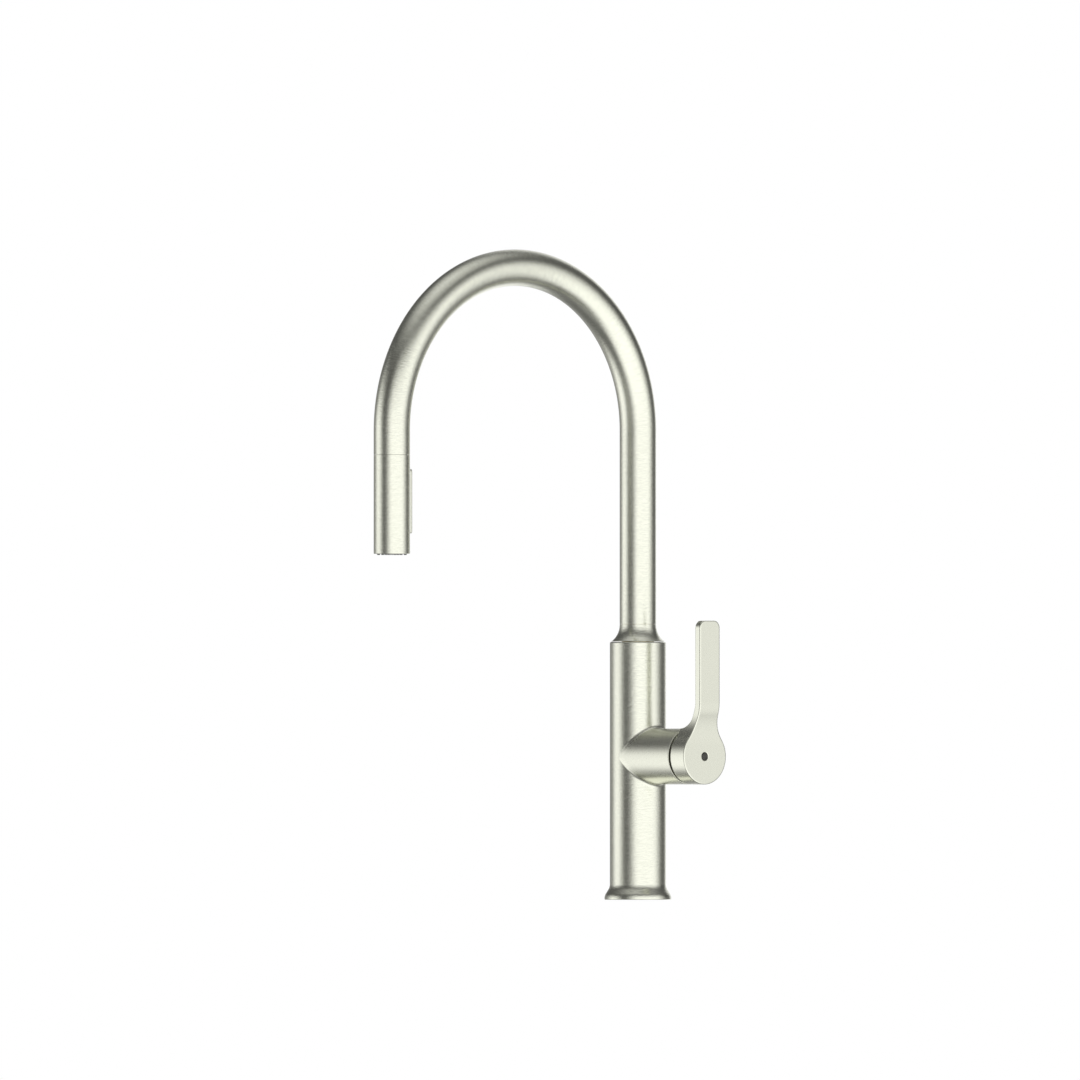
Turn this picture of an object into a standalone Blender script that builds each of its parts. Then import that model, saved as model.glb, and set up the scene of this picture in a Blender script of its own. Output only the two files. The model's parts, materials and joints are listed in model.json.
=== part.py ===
"""A pull down kitchen faucet as an assembly of separate pieces.

The origin is on the column's axis at the deck, +Z is up, the spout reaches along -Y and the
side lever stands at +X. Sizes are in millimetres, and MM turns them into Blender's metres.
"""

from math import cos, pi, radians, sin

import bmesh
import bpy
from mathutils import Vector

MM = 0.001

# Driving dimensions
COLUMN_R = 20.0
COLUMN_BORE_R = 18.0
COLUMN_TOP = 183.75
FOOT_R = 23.8
TUBE_R = 13.0
TUBE_BORE_R = 12.0
ARCH_R = 116.0
ARCH_Z = 334.5
REACH = 2 * ARCH_R
HEAD_TOP = 317.0
HEAD_BOTTOM = 246.5
HEAD_BORE_R = 11.6
GAP = 0.3

HANDLE_Z = 102.1
HOUSING_R = 19.9
HOUSING_BORE_R = 17.7
HOUSING_END = 55.8
CAP_R = 20.0
CAP_REAR = 58.0
CAP_FACE = 73.0
BLADE_FACE = 78.5
BLADE_THICK = 5.6
BLADE_HALF_WIDTH = 9.4
BLADE_TOP = 199.1
TILT_X = 41.0
STEM_TIP = 24.6

COLLAR_TOP = 196.4
COLLAR_FOOT = 184.05
STOP_Z = 171.5
SWIVEL_LIMIT = 70.0

BUTTON_Z = 284.0
BUTTON_LENGTH = 46.0
BUTTON_HALF_WIDTH = 5.8
BUTTON_CORNER_R = 1.6
BUTTON_BACK_Y = 10.0
BUTTON_FACE_Y = 14.4
BUTTON_PIN_Y = 7.8
SPOOL_Z = 270.0

HOSE_R = 5.0
HOSE_TOP = 312.0
HOSE_SIDE = -8.5
HOSE_FOOT_X = -7.0
HOSE_FOOT_Z = 24.3

PORT_X = 5.0
PORT_R = 4.0
PORTS = {"hot": -10.0, "outlet": 0.0, "cold": 10.0}
SEAT_HOLES = [(-7.5, -4.0), (7.5, -4.0), (0.0, 6.0)]
DISC_DROP = 2.7

FINE = 40
ROUND = 28
PLAIN = 20
SMALL = 12

ORIGIN = (0.0, 0.0, 0.0)
HANDLE_AXIS = (0.0, 0.0, HANDLE_Z)
HEAD_AXIS = (0.0, -REACH, 0.0)


def clear_scene():
    for old in list(bpy.data.objects):
        bpy.data.objects.remove(old)


def finish(name, colour, roughness, metallic):
    """One material, as a Principled shader."""
    material = bpy.data.materials.new(name)
    material.use_nodes = True
    shader = material.node_tree.nodes["Principled BSDF"]
    shader.inputs["Base Color"].default_value = (*colour, 1.0)
    shader.inputs["Roughness"].default_value = roughness
    shader.inputs["Metallic"].default_value = metallic
    return material


FINISHES = {
    "nickel": ((0.71, 0.72, 0.64), 0.3, 1.0),
    "brass": ((0.72, 0.53, 0.25), 0.35, 1.0),
    "steel": ((0.62, 0.62, 0.6), 0.3, 1.0),
    "magnet": ((0.12, 0.12, 0.12), 0.4, 0.8),
    "ceramic": ((0.86, 0.84, 0.8), 0.25, 0.0),
    "white_plastic": ((0.85, 0.85, 0.83), 0.45, 0.0),
    "dark_plastic": ((0.05, 0.05, 0.05), 0.5, 0.0),
    "red_plastic": ((0.6, 0.06, 0.04), 0.5, 0.0),
    "grey_rubber": ((0.2, 0.2, 0.19), 0.7, 0.0),
    "black_rubber": ((0.03, 0.03, 0.03), 0.8, 0.0),
    "braid": ((0.3, 0.3, 0.3), 0.6, 0.0),
}


def arc(centre, radius, start, end, steps):
    """Points along an arc of a flat outline, between two angles in degrees."""
    angles = [radians(start + (end - start) * i / steps) for i in range(steps + 1)]
    return [(centre[0] + radius * cos(a), centre[1] + radius * sin(a)) for a in angles]


def add(name, bm, material, at=ORIGIN, turn=(0.0, 0.0, 0.0), sharp=40.0):
    """The finished mesh as an object, shaded smooth where its faces meet gently."""
    bmesh.ops.remove_doubles(bm, verts=bm.verts, dist=0.002 * MM)
    bmesh.ops.dissolve_degenerate(bm, edges=bm.edges, dist=0.001 * MM)
    bmesh.ops.recalc_face_normals(bm, faces=bm.faces)
    mesh = bpy.data.meshes.new(name)
    bm.to_mesh(mesh)
    bm.free()
    mesh.shade_smooth()
    mesh.set_sharp_from_angle(angle=radians(sharp))
    mesh.materials.append(finish(name, *FINISHES[material]))
    piece = bpy.data.objects.new(name, mesh)
    piece.location = Vector(at) * MM
    piece.rotation_euler = turn
    bpy.context.collection.objects.link(piece)
    return piece


def turned(name, outline, material="steel", sides=PLAIN, at=ORIGIN, along="Z"):
    """A turned piece: the corners (radius, height) of its section, spun about one axis."""
    bm = bmesh.new()
    corners = [bm.verts.new((r * MM, 0.0, h * MM)) for r, h in outline]
    edges = []
    for i, corner in enumerate(corners):
        after = (i + 1) % len(corners)
        if outline[i][0] or outline[after][0]:
            edges.append(bm.edges.new((corner, corners[after])))
    bmesh.ops.spin(bm, geom=corners + edges, cent=ORIGIN, axis=(0, 0, 1), angle=2 * pi,
                   steps=sides, use_merge=True)
    turns = {"Z": (0, 0, 0), "X": (0, pi / 2, 0), "Y": (-pi / 2, 0, 0)}
    return add(name, bm, material, at, turns[along])


def ring(name, inner, outer, low, high, material="steel", sides=PLAIN, at=ORIGIN, along="Z"):
    """A plain ring, or a plain round bar where the inner radius is 0."""
    outline = [(inner, low), (outer, low), (outer, high), (inner, high)]
    return turned(name, outline, material, sides, at, along)


def prism(name, outline, low, high, along, material="steel"):
    """A flat outline, pulled along one axis. Its points lie on the other two, in X, Y, Z order."""
    place = {"X": lambda u, v, w: (w, u, v),
             "Y": lambda u, v, w: (u, w, v),
             "Z": lambda u, v, w: (u, v, w)}
    bm = bmesh.new()
    face = bm.faces.new([bm.verts.new(Vector(place[along](u, v, low)) * MM) for u, v in outline])
    pulled = bmesh.ops.extrude_face_region(bm, geom=[face])["geom"]
    moved = [g for g in pulled if isinstance(g, bmesh.types.BMVert)]
    shift = Vector(place[along](0.0, 0.0, high - low)) * MM
    bmesh.ops.translate(bm, verts=moved, vec=shift)
    return add(name, bm, material)


def block(name, low, high, material="steel"):
    outline = [(low[0], low[1]), (high[0], low[1]), (high[0], high[1]), (low[0], high[1])]
    return prism(name, outline, low[2], high[2], "Z", material)


def boolean(piece, cutter, operation="DIFFERENCE"):
    """Cuts, joins or trims one piece by another, which stays behind as a guide."""
    modifier = piece.modifiers.new(cutter.name, "BOOLEAN")
    modifier.operation = operation
    modifier.solver = "EXACT"
    modifier.object = cutter
    cutter.hide_render = True
    cutter.display_type = "WIRE"


def drill(piece, radius, start, end, along, at=ORIGIN, sides=SMALL):
    """A round hole along one axis, from start to end measured from the point at."""
    name = f"{piece.name}_hole_{len(piece.modifiers)}"
    boolean(piece, ring(name, 0.0, radius, start, end, "steel", sides, at, along))


def column_outline():
    """Half the column's section: flat foot, S-shaped flare, straight side, eased top."""
    hollow_r = 8.2
    crown_r = 6.4
    edge = arc((FOOT_R - 0.6, 0.6), 0.6, -90.0, 0.0, 3)
    crown = arc((FOOT_R - crown_r, 1.0), crown_r, 0.0, 35.0, 4)
    hollow = arc((COLUMN_R + hollow_r, 11.3), hollow_r, 215.0, 180.0, 4)
    top = arc((COLUMN_R - 1.0, COLUMN_TOP - 1.0), 1.0, 0.0, 70.0, 3)
    return [(0.0, 0.0)] + edge + crown + hollow + top + [(COLUMN_R - 1.0, COLUMN_TOP), (0.0, COLUMN_TOP)]


def body_shell():
    shell = turned("body_shell", column_outline(), "nickel", FINE)
    outline = [(0.0, 0.0), (HOUSING_R, 0.0), (HOUSING_R, HOUSING_END - 0.6),
               (HOUSING_R - 0.6, HOUSING_END), (0.0, HOUSING_END)]
    boolean(shell, turned("housing_blank", outline, "nickel", FINE, HANDLE_AXIS, "X"), "UNION")
    foot = 21.4
    outline = [(0.0, -1.0), (foot, -1.0), (foot, 1.9), (COLUMN_BORE_R, 1.9),
               (COLUMN_BORE_R, COLUMN_TOP + 1.0), (0.0, COLUMN_TOP + 1.0)]
    bore = turned("column_bore", outline, "steel", ROUND)
    bore.rotation_euler.z = pi / ROUND
    side_bore = ring("housing_bore", 0.0, HOUSING_BORE_R, 1.7, HOUSING_END + 1.0, "steel", ROUND,
                     HANDLE_AXIS, "X")
    boolean(bore, side_bore, "UNION")
    boolean(shell, bore)
    return shell


def base_pieces():
    ring("deck_gasket", 14.2, 21.1, 0.0, 1.6, "black_rubber", ROUND)
    outline = [(14.0, 1.9), (17.7, 1.9), (17.7, 14.0), (14.5, 14.0), (14.0, 13.5)]
    turned("base_insert", outline, "brass")
    outline = [(2.6, 4.0), (5.6, 4.0), (6.5, 5.0), (6.5, 12.0), (5.4, 12.6), (5.4, 17.0),
               (6.5, 17.6), (6.5, 24.0), (2.6, 24.0)]
    turned("hose_coupling", outline, "brass", SMALL, (HOSE_FOOT_X, 0.0, 0.0))


def valve_body():
    """The cast manifold: a cup for the cartridge, with three ways down for the hoses."""
    outline = [(0.0, -2.0), (16.9, -2.0), (17.4, -1.5), (17.4, 45.0), (14.3, 45.0), (14.3, 12.0),
               (0.0, 12.0)]
    body = turned("valve_body", outline, "brass", ROUND, HANDLE_AXIS, "X")
    for name, y in PORTS.items():
        reach = 8.0 if name == "outlet" else -1.0
        drill(body, PORT_R, -40.0, reach, "Z", (PORT_X, y, HANDLE_Z))
    for y, z in SEAT_HOLES:
        drill(body, 2.0, PORT_X, 13.0, "X", (0.0, y, HANDLE_Z + z), 12)


def nipples():
    barbs = []
    for step in range(2):
        foot = 60.0 + 5.0 * step
        barbs += [(3.2, foot), (3.9, foot + 3.0)]
    outline = [(2.2, 60.0)] + barbs + [(3.2, 70.5), (3.2, 78.0), (4.7, 78.0), (4.7, 84.0),
                                       (3.7, 84.0), (3.7, 96.0), (2.2, 96.0)]
    for name, y in PORTS.items():
        node = "outlet_nipple" if name == "outlet" else f"{name}_inlet_nipple"
        turned(node, outline, "brass", SMALL, (PORT_X, y, 0.0))


def cartridge_housing():
    """What stands still in the valve: seal, base, fixed disc, shell, nut, stops and covers."""
    seal = ring("cartridge_seal", 0.0, 13.0, 12.3, 13.5, "black_rubber", PLAIN, HANDLE_AXIS, "X")
    base = ring("cartridge_base", 0.0, 13.9, 13.8, 17.4, "white_plastic", PLAIN, HANDLE_AXIS, "X")
    disc = ring("fixed_ceramic_disc", 0.0, 11.6, 17.7, 20.7, "ceramic", PLAIN, HANDLE_AXIS, "X")
    for piece in (seal, base, disc):
        for y, z in SEAT_HOLES:
            drill(piece, 2.0, 12.0, 21.0, "X", (0.0, y, HANDLE_Z + z), 12)
    outline = [(11.9, 17.7), (14.0, 17.7), (14.0, 38.5), (8.5, 38.5), (8.5, 36.2), (11.9, 36.2)]
    turned("cartridge_shell", outline, "white_plastic", PLAIN, HANDLE_AXIS, "X")
    ring("cartridge_nut", 9.6, 14.0, 38.8, 44.8, "brass", PLAIN, HANDLE_AXIS, "X")
    ring("hot_limit_ring", 9.6, 13.6, 45.1, 47.1, "red_plastic", PLAIN, HANDLE_AXIS, "X")
    ring("valve_lock_ring", 14.6, 17.4, 45.3, 49.3, "brass", PLAIN, HANDLE_AXIS, "X")
    ring("housing_cover", 12.6, 17.4, 50.0, 53.5, "dark_plastic", PLAIN, HANDLE_AXIS, "X")


def swivel_seat():
    """The fixed half of the spout's bearing, with the concave collar that closes the column."""
    socket = ring("swivel_socket", 13.8, 17.7, 157.0, COLUMN_TOP, "brass")
    drill(socket, 1.8, 13.0, 18.5, "Y", (0.0, 0.0, STOP_Z), 12)
    ring("upper_bush", 11.8, 13.5, 176.0, COLUMN_TOP, "white_plastic")
    ring("lower_bush", 11.8, 13.5, 158.0, 163.0, "white_plastic")
    ring("stop_screw", 0.0, 1.5, 10.8, 17.5, "steel", 12, (0.0, 0.0, STOP_Z), "Y")
    hollow_r = 15.0
    outline = [(12.0, COLLAR_FOOT)]
    outline += arc((TUBE_R + hollow_r, 196.0), hollow_r, 232.8, 180.0, 7)
    outline += [(TUBE_R, COLLAR_TOP), (12.0, COLLAR_TOP)]
    turned("flared_collar", outline, "nickel", ROUND)


def swivel_stem():
    """The turning half: a tube with a groove for the clip and a part-round groove for the stop."""
    outline = [(9.4, 151.0), (11.5, 151.0), (11.5, 153.7), (10.5, 153.7), (10.5, 155.6),
               (11.5, 155.6), (11.5, 212.0), (9.4, 212.0)]
    stem = turned("swivel_stem", outline, "brass")
    half = SWIVEL_LIMIT + 11.0
    groove = (arc(ORIGIN, 12.5, 90.0 - half, 90.0 + half, 12)
              + arc(ORIGIN, 10.3, 90.0 + half, 90.0 - half, 12))
    boolean(stem, prism("stop_groove", groove, STOP_Z - 2.0, STOP_Z + 2.0, "Z"))
    open_half = 25.0
    outline = (arc(ORIGIN, 14.0, open_half, 360.0 - open_half, 16)
               + arc(ORIGIN, 10.9, 360.0 - open_half, open_half, 16))
    clip = prism("retaining_clip", outline, 154.0, 155.3, "Z", "steel")
    washer = ring("thrust_washer", 11.8, 15.5, 155.6, 156.7, "steel")
    section = arc((12.65, 167.0), 0.8, 0.0, 300.0, 5)
    seal = turned("friction_ring", section, "black_rubber")
    return [stem, clip, washer, seal]


def tube_sweep(name, radius, sides, arch_steps, low, end):
    """A solid bar that follows the spout's centreline: riser, half circle and down leg."""
    turns = [radians(180.0 * i / arch_steps) for i in range(arch_steps + 1)]
    line = [((0.0, low), 0.0)]
    line += [((-ARCH_R + ARCH_R * cos(t), ARCH_Z + ARCH_R * sin(t)), t) for t in turns]
    line += [((-REACH, end), pi)]
    bm = bmesh.new()
    loops = []
    for (y, z), lean in line:
        loop = []
        for i in range(sides):
            a = 2 * pi * i / sides
            out = radius * cos(a)
            corner = Vector((radius * sin(a), y + out * cos(lean), z + out * sin(lean)))
            loop.append(bm.verts.new(corner * MM))
        loops.append(loop)
    for near, far in zip(loops, loops[1:]):
        for i in range(sides):
            j = (i + 1) % sides
            bm.faces.new((near[i], near[j], far[j], far[i]))
    bm.faces.new(loops[0])
    bm.faces.new(loops[-1][::-1])
    return add(name, bm, "nickel")


def spout_tube():
    tube = tube_sweep("spout_tube", TUBE_R, ROUND, 24, COLLAR_TOP + GAP, HEAD_TOP + GAP)
    boolean(tube, tube_sweep("tube_bore", TUBE_BORE_R, PLAIN, 18, COLLAR_TOP - 1.0, HEAD_TOP - 1.0))
    return tube


def dock():
    """The seat inside the spout's mouth that the spray head draws up into."""
    outline = [(11.1, 317.5), (11.5, 317.5), (11.5, 328.9), (7.9, 328.9), (7.9, 327.6), (11.1, 318.4)]
    insert = turned("dock_insert", outline, "dark_plastic", PLAIN, HEAD_AXIS)
    magnet = ring("dock_magnet", 8.0, 11.4, 329.2, 333.2, "magnet", PLAIN, HEAD_AXIS)
    return [insert, magnet]


def ease(t):
    """0 to 1 with a gentle start and end."""
    return t * t * (3.0 - 2.0 * t)


def pull_down_hose():
    """One hose from the head, through the arch and down past the valve to its coupling."""
    route = [(0.0, -REACH, HOSE_TOP), (0.0, -REACH, 323.0)]
    steps = 18
    for i in range(steps + 1):
        turn = pi - pi * i / steps
        route.append((0.0, -ARCH_R + ARCH_R * cos(turn), ARCH_Z + ARCH_R * sin(turn)))
    for z in range(315, 180, -20):
        route.append((0.0, 0.0, float(z)))
    for i in range(8):
        t = i / 7
        route.append((HOSE_SIDE * ease(t), 0.0, 172.0 - 54.0 * t))
    route.append((HOSE_SIDE, 0.0, 100.0))
    for i in range(4):
        t = i / 3
        x = HOSE_SIDE + (HOSE_FOOT_X - HOSE_SIDE) * ease(t)
        route.append((x, 0.0, 82.0 - (82.0 - HOSE_FOOT_Z) * t))
    curve = bpy.data.curves.new("pull_down_hose", "CURVE")
    curve.dimensions = "3D"
    curve.bevel_depth = HOSE_R * MM
    curve.bevel_resolution = 2
    curve.use_fill_caps = True
    spline = curve.splines.new("POLY")
    spline.points.add(len(route) - 1)
    for point, place in zip(spline.points, route):
        point.co = (*(Vector(place) * MM), 1.0)
    curve.materials.append(finish("pull_down_hose", *FINISHES["braid"]))
    hose = bpy.data.objects.new("pull_down_hose", curve)
    bpy.context.collection.objects.link(hose)
    return hose


def slot_outline(clearance):
    """The button's outline from the front, or its slot's with some clearance, in X and Z."""
    radius = BUTTON_CORNER_R + clearance
    side = BUTTON_HALF_WIDTH - BUTTON_CORNER_R
    end = BUTTON_LENGTH / 2 - BUTTON_CORNER_R
    centres = ((side, end), (-side, end), (-side, -end), (side, -end))
    outline = []
    for quarter, (x, z) in enumerate(centres):
        outline += arc((x, BUTTON_Z + z), radius, 90.0 * quarter, 90.0 * (quarter + 1), 4)
    return outline


def head_shell():
    outline = [(HEAD_BORE_R, HEAD_BOTTOM), (TUBE_R - 0.5, HEAD_BOTTOM), (TUBE_R, HEAD_BOTTOM + 0.5),
               (TUBE_R, HEAD_TOP), (HEAD_BORE_R, HEAD_TOP)]
    shell = turned("head_shell", outline, "nickel", ROUND, HEAD_AXIS)
    boolean(shell, prism("button_slot", slot_outline(0.5), -REACH + 6.0, -REACH + 16.0, "Y"))
    return shell


def head_core():
    """The waterway: inlet at the top, spool across the middle, open chamber at the bottom."""
    outline = [(5.5, 316.7), (11.2, 316.7), (11.2, 250.5), (8.6, 250.5), (8.6, 258.0), (3.0, 260.0),
               (3.0, 284.0), (4.6, 284.0), (4.6, 298.0), (5.5, 298.0)]
    core = turned("head_core", outline, "dark_plastic", PLAIN, HEAD_AXIS)
    pocket = block("button_pocket", (-6.4, -REACH + 5.9, 258.5), (6.4, -REACH + 14.0, 309.5))
    boolean(core, pocket)
    drill(core, 2.6, -6.0, 7.0, "Y", (0.0, -REACH, SPOOL_Z), 12)
    drill(core, 1.2, -12.0, 12.0, "X", (0.0, -REACH + BUTTON_PIN_Y, BUTTON_Z), 12)
    return core


def dock_cone():
    outline = [(5.4, 317.0), (10.7, 317.0), (10.7, 318.2), (7.5, 327.4), (7.5, 328.2), (5.4, 328.2)]
    cone = turned("dock_cone", outline, "dark_plastic", PLAIN, HEAD_AXIS)
    plate = ring("catch_ring", 5.5, 7.4, 328.5, 330.0, "steel", PLAIN, HEAD_AXIS)
    return [cone, plate]


def head_fittings():
    fitting = ring("hose_end_fitting", 3.0, 5.1, 298.3, 311.7, "brass", SMALL, HEAD_AXIS)
    valve = ring("check_valve", 2.0, 4.3, 284.4, 297.6, "white_plastic", SMALL, HEAD_AXIS)
    pivot = (0.0, -REACH + BUTTON_PIN_Y, BUTTON_Z)
    pin = ring("button_pin", 0.0, 1.0, -7.6, 7.6, "steel", 8, pivot, "X")
    return [fitting, valve, pin]


def peg_ring(name, rows, foot_r, top_r, low, high):
    """Rings of short upright pegs, as one guide object: each row is a radius and a count."""
    bm = bmesh.new()
    for radius, count in rows:
        for i in range(count):
            a = 2 * pi * i / count
            made = bmesh.ops.create_cone(bm, cap_ends=True, segments=5, radius1=foot_r * MM,
                                         radius2=top_r * MM, depth=(high - low) * MM)
            place = Vector((radius * cos(a), radius * sin(a), (low + high) / 2)) * MM
            bmesh.ops.translate(bm, verts=made["verts"], vec=place)
    return add(name, bm, "grey_rubber", HEAD_AXIS)


def nozzle_mat():
    """The soft face: a disc with two rings of short nozzles under it."""
    mat = ring("nozzle_mat", 5.6, 11.1, 246.9, 248.3, "grey_rubber", PLAIN, HEAD_AXIS)
    boolean(mat, peg_ring("nozzle_tips", ((7.3, 10), (10.1, 14)), 0.5, 0.8, 245.7, 247.5), "UNION")
    return mat


def spray_face():
    plate = ring("spray_plate", 5.6, 11.1, 248.6, 250.2, "dark_plastic", PLAIN, HEAD_AXIS)
    outline = [(1.8, 257.5), (5.2, 257.5), (5.2, 246.4), (4.4, 246.4), (4.4, 249.5), (1.8, 249.5)]
    insert = turned("aerator_insert", outline, "dark_plastic", PLAIN, HEAD_AXIS)
    screen = ring("aerator_screen", 0.0, 4.1, 247.6, 248.4, "white_plastic", SMALL, HEAD_AXIS)
    boolean(screen, peg_ring("screen_holes", ((2.6, 6),), 0.8, 0.8, 247.0, 249.0))
    return [plate, insert, screen]


def rocker_button():
    """A long slim rocker with a flat face, on a lug for its pin."""
    back, face = -REACH + BUTTON_BACK_Y, -REACH + BUTTON_FACE_Y
    button = prism("rocker_button", slot_outline(0.0), back, face, "Y", "nickel")
    lug = block("button_lug", (-5.2, -REACH + 6.5, BUTTON_Z - 3.0), (5.2, back + 0.8, BUTTON_Z + 3.0))
    boolean(button, lug, "UNION")
    drill(button, 1.3, -7.0, 7.0, "X", (0.0, -REACH + BUTTON_PIN_Y, BUTTON_Z), 8)
    return button


def diverter_spool():
    outline = [(0.0, -5.0), (2.2, -5.0), (2.2, -2.0), (1.5, -1.5), (1.5, 1.5), (2.2, 2.0), (2.2, 9.6),
               (0.0, 9.6)]
    return turned("diverter_spool", outline, "steel", 12, (0.0, -REACH, SPOOL_Z), "Y")


def cartridge_rotor():
    """Turns in the cartridge for temperature, and carries the stem on a cross pin."""
    outline = [(0.0, 27.3), (11.5, 27.3), (11.5, 33.0), (8.1, 33.0), (8.1, 46.5), (0.0, 46.5)]
    rotor = turned("cartridge_rotor", outline, "white_plastic", PLAIN, HANDLE_AXIS, "X")
    window = block("rotor_window", (26.0, -3.1, HANDLE_Z - 3.4), (33.2, 3.1, HANDLE_Z + 9.0))
    slot = block("rotor_slot", (32.0, -3.1, HANDLE_Z - 5.2), (48.0, 3.1, HANDLE_Z + 6.2))
    boolean(rotor, window)
    boolean(rotor, slot)
    drill(rotor, 1.8, -10.0, 10.0, "Y", (TILT_X, 0.0, HANDLE_Z), 12)
    pin = ring("stem_pin", 0.0, 1.5, -7.2, 7.2, "steel", 12, (TILT_X, 0.0, HANDLE_Z), "Y")
    return [rotor, pin]


def flow_slider():
    """The moving ceramic disc and the carrier that the stem's tip pushes."""
    at = (0.0, 0.0, HANDLE_Z - DISC_DROP)
    disc = ring("moving_ceramic_disc", 0.0, 8.6, 21.0, 24.0, "ceramic", PLAIN, at, "X")
    drill(disc, 5.4, 20.0, 22.5, "X", at)
    carrier = ring("disc_carrier", 0.0, 8.6, 24.3, 27.0, "white_plastic", PLAIN, at, "X")
    drill(carrier, 3.5, 24.0, 28.0, "X", HANDLE_AXIS)
    return [disc, carrier]


def lever_stem():
    low, high = (35.0, -2.5, HANDLE_Z - 2.5), (64.2, 2.5, HANDLE_Z + 2.5)
    stem = block("lever_stem", low, high, "steel")
    outline = [(0.0, STEM_TIP), (1.4, STEM_TIP), (2.2, STEM_TIP + 0.8), (2.2, 36.0), (0.0, 36.0)]
    boolean(stem, turned("stem_rod", outline, "steel", 12, HANDLE_AXIS, "X"), "UNION")
    eye = ring("stem_eye", 0.0, 3.6, -2.45, 2.45, "steel", SMALL, (TILT_X, 0.0, HANDLE_Z), "Y")
    boolean(stem, eye, "UNION")
    drill(stem, 1.8, -4.0, 4.0, "Y", (TILT_X, 0.0, HANDLE_Z), 12)
    return stem


def blade_side():
    """The lever's outline from the side, in X and Z: it sweeps out from the cap, then stands upright."""
    sweep_r = 62.0
    bend_r = 28.0
    back_r = 12.0
    upright = 141.3
    front = arc((CAP_FACE + sweep_r, 110.0), sweep_r, 177.5, 159.4, 6)
    front += arc((BLADE_FACE - bend_r, upright), bend_r, -19.4, 0.0, 4)
    back_x = BLADE_FACE - BLADE_THICK
    back = arc((back_x - 17.0, upright), 17.0, 0.0, -22.0, 4)
    back += arc((58.7, HANDLE_Z + CAP_R + back_r), back_r, -22.0, -90.0, 8)
    inside = [(58.7, HANDLE_Z + 16.0), (70.0, HANDLE_Z + 7.0)]
    return front + [(BLADE_FACE, BLADE_TOP), (back_x, BLADE_TOP)] + back + inside


def blade_front():
    """The lever's outline from the front, in Y and Z: cap round, hollow shoulder, straight sides."""
    shoulder_r = 30.3
    shoulder_z = 133.0
    corner_r = 5.5
    side = BLADE_HALF_WIDTH
    leave = 180.0 + 37.9
    right = arc((0.0, HANDLE_Z), CAP_R - 0.02, 10.0, 37.0, 4)
    right += arc((side + shoulder_r, shoulder_z), shoulder_r, leave, 180.0, 6)
    right += arc((side - corner_r, BLADE_TOP - corner_r), corner_r, 0.0, 90.0, 5)
    return right + [(-y, z) for y, z in right[::-1]]


def lever_handle():
    outline = [(3.9, 52.0), (6.5, 52.0), (6.5, CAP_REAR), (CAP_R - 0.6, CAP_REAR),
               (CAP_R, CAP_REAR + 0.6), (CAP_R, CAP_FACE - 0.8), (CAP_R - 0.8, CAP_FACE),
               (0.0, CAP_FACE), (0.0, 64.5), (3.9, 64.5)]
    handle = turned("lever_handle", outline, "nickel", FINE, HANDLE_AXIS, "X")
    blade = prism("blade_blank", blade_side(), -30.0, 30.0, "Y")
    boolean(blade, prism("blade_trim", blade_front(), 50.0, 90.0, "X"), "INTERSECT")
    boolean(handle, blade, "UNION")
    hollow = ring("cap_hollow", 6.6, 18.5, CAP_REAR - 1.0, 66.0, "steel", ROUND, HANDLE_AXIS, "X")
    boolean(handle, hollow)
    drill(handle, 2.5, -22.0, -3.0, "Z", (61.0, 0.0, HANDLE_Z))
    drill(handle, 2.9, CAP_FACE - 1.1, CAP_FACE + 1.0, "X", HANDLE_AXIS)
    return handle


def handle_trim():
    inlay = ring("cap_inlay", 0.0, 2.6, CAP_FACE - 0.8, CAP_FACE, "steel", SMALL, HANDLE_AXIS, "X")
    screw = ring("set_screw", 0.0, 2.2, -6.4, -2.8, "steel", SMALL, (61.0, 0.0, HANDLE_Z))
    plug = ring("screw_plug", 0.0, 2.2, -19.8, -18.6, "nickel", SMALL, (61.0, 0.0, HANDLE_Z))
    return [inlay, screw, plug]


def joint(name, place, pieces, parent=None):
    """An empty on a joint's axis that carries the pieces which move together."""
    empty = bpy.data.objects.new(name, None)
    empty.location = Vector(place) * MM
    bpy.context.collection.objects.link(empty)
    for piece in pieces:
        piece.parent = empty
        piece.location = piece.location - empty.location
    if parent:
        start = parent
        while start:
            empty.location = empty.location - start.location
            start = start.parent
        empty.parent = parent
    return empty


def build():
    clear_scene()
    body_shell()
    base_pieces()
    valve_body()
    nipples()
    cartridge_housing()
    swivel_seat()

    spout_pieces = [spout_tube(), pull_down_hose()] + dock() + swivel_stem()
    spout = joint("spout_axis", (0.0, 0.0, STOP_Z), spout_pieces)
    head_pieces = [head_shell(), head_core(), nozzle_mat()]
    head_pieces += dock_cone() + head_fittings() + spray_face()
    head = joint("head_axis", (0.0, -REACH, HEAD_TOP), head_pieces, spout)
    joint("button_axis", (0.0, -REACH + BUTTON_PIN_Y, BUTTON_Z), [rocker_button()], head)
    joint("spool_axis", (0.0, -REACH, SPOOL_Z), [diverter_spool()], head)

    turn = joint("temperature_axis", (TILT_X, 0.0, HANDLE_Z), cartridge_rotor())
    joint("disc_axis", (STEM_TIP, 0.0, HANDLE_Z), flow_slider(), turn)
    joint("tilt_axis", (TILT_X, 0.0, HANDLE_Z), [lever_handle(), lever_stem()] + handle_trim(), turn)


build()
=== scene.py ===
"""The looks of a pull down kitchen faucet in brushed nickel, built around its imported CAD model.

Lengths are in millimetres while a shape is worked out, and MM turns them into metres.
The origin is on the column's axis at the deck, +Z is up, the spout reaches along -Y and the
side lever stands at +X.
"""

import json
from math import atan2, cos, pi, radians, sin, sqrt

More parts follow.
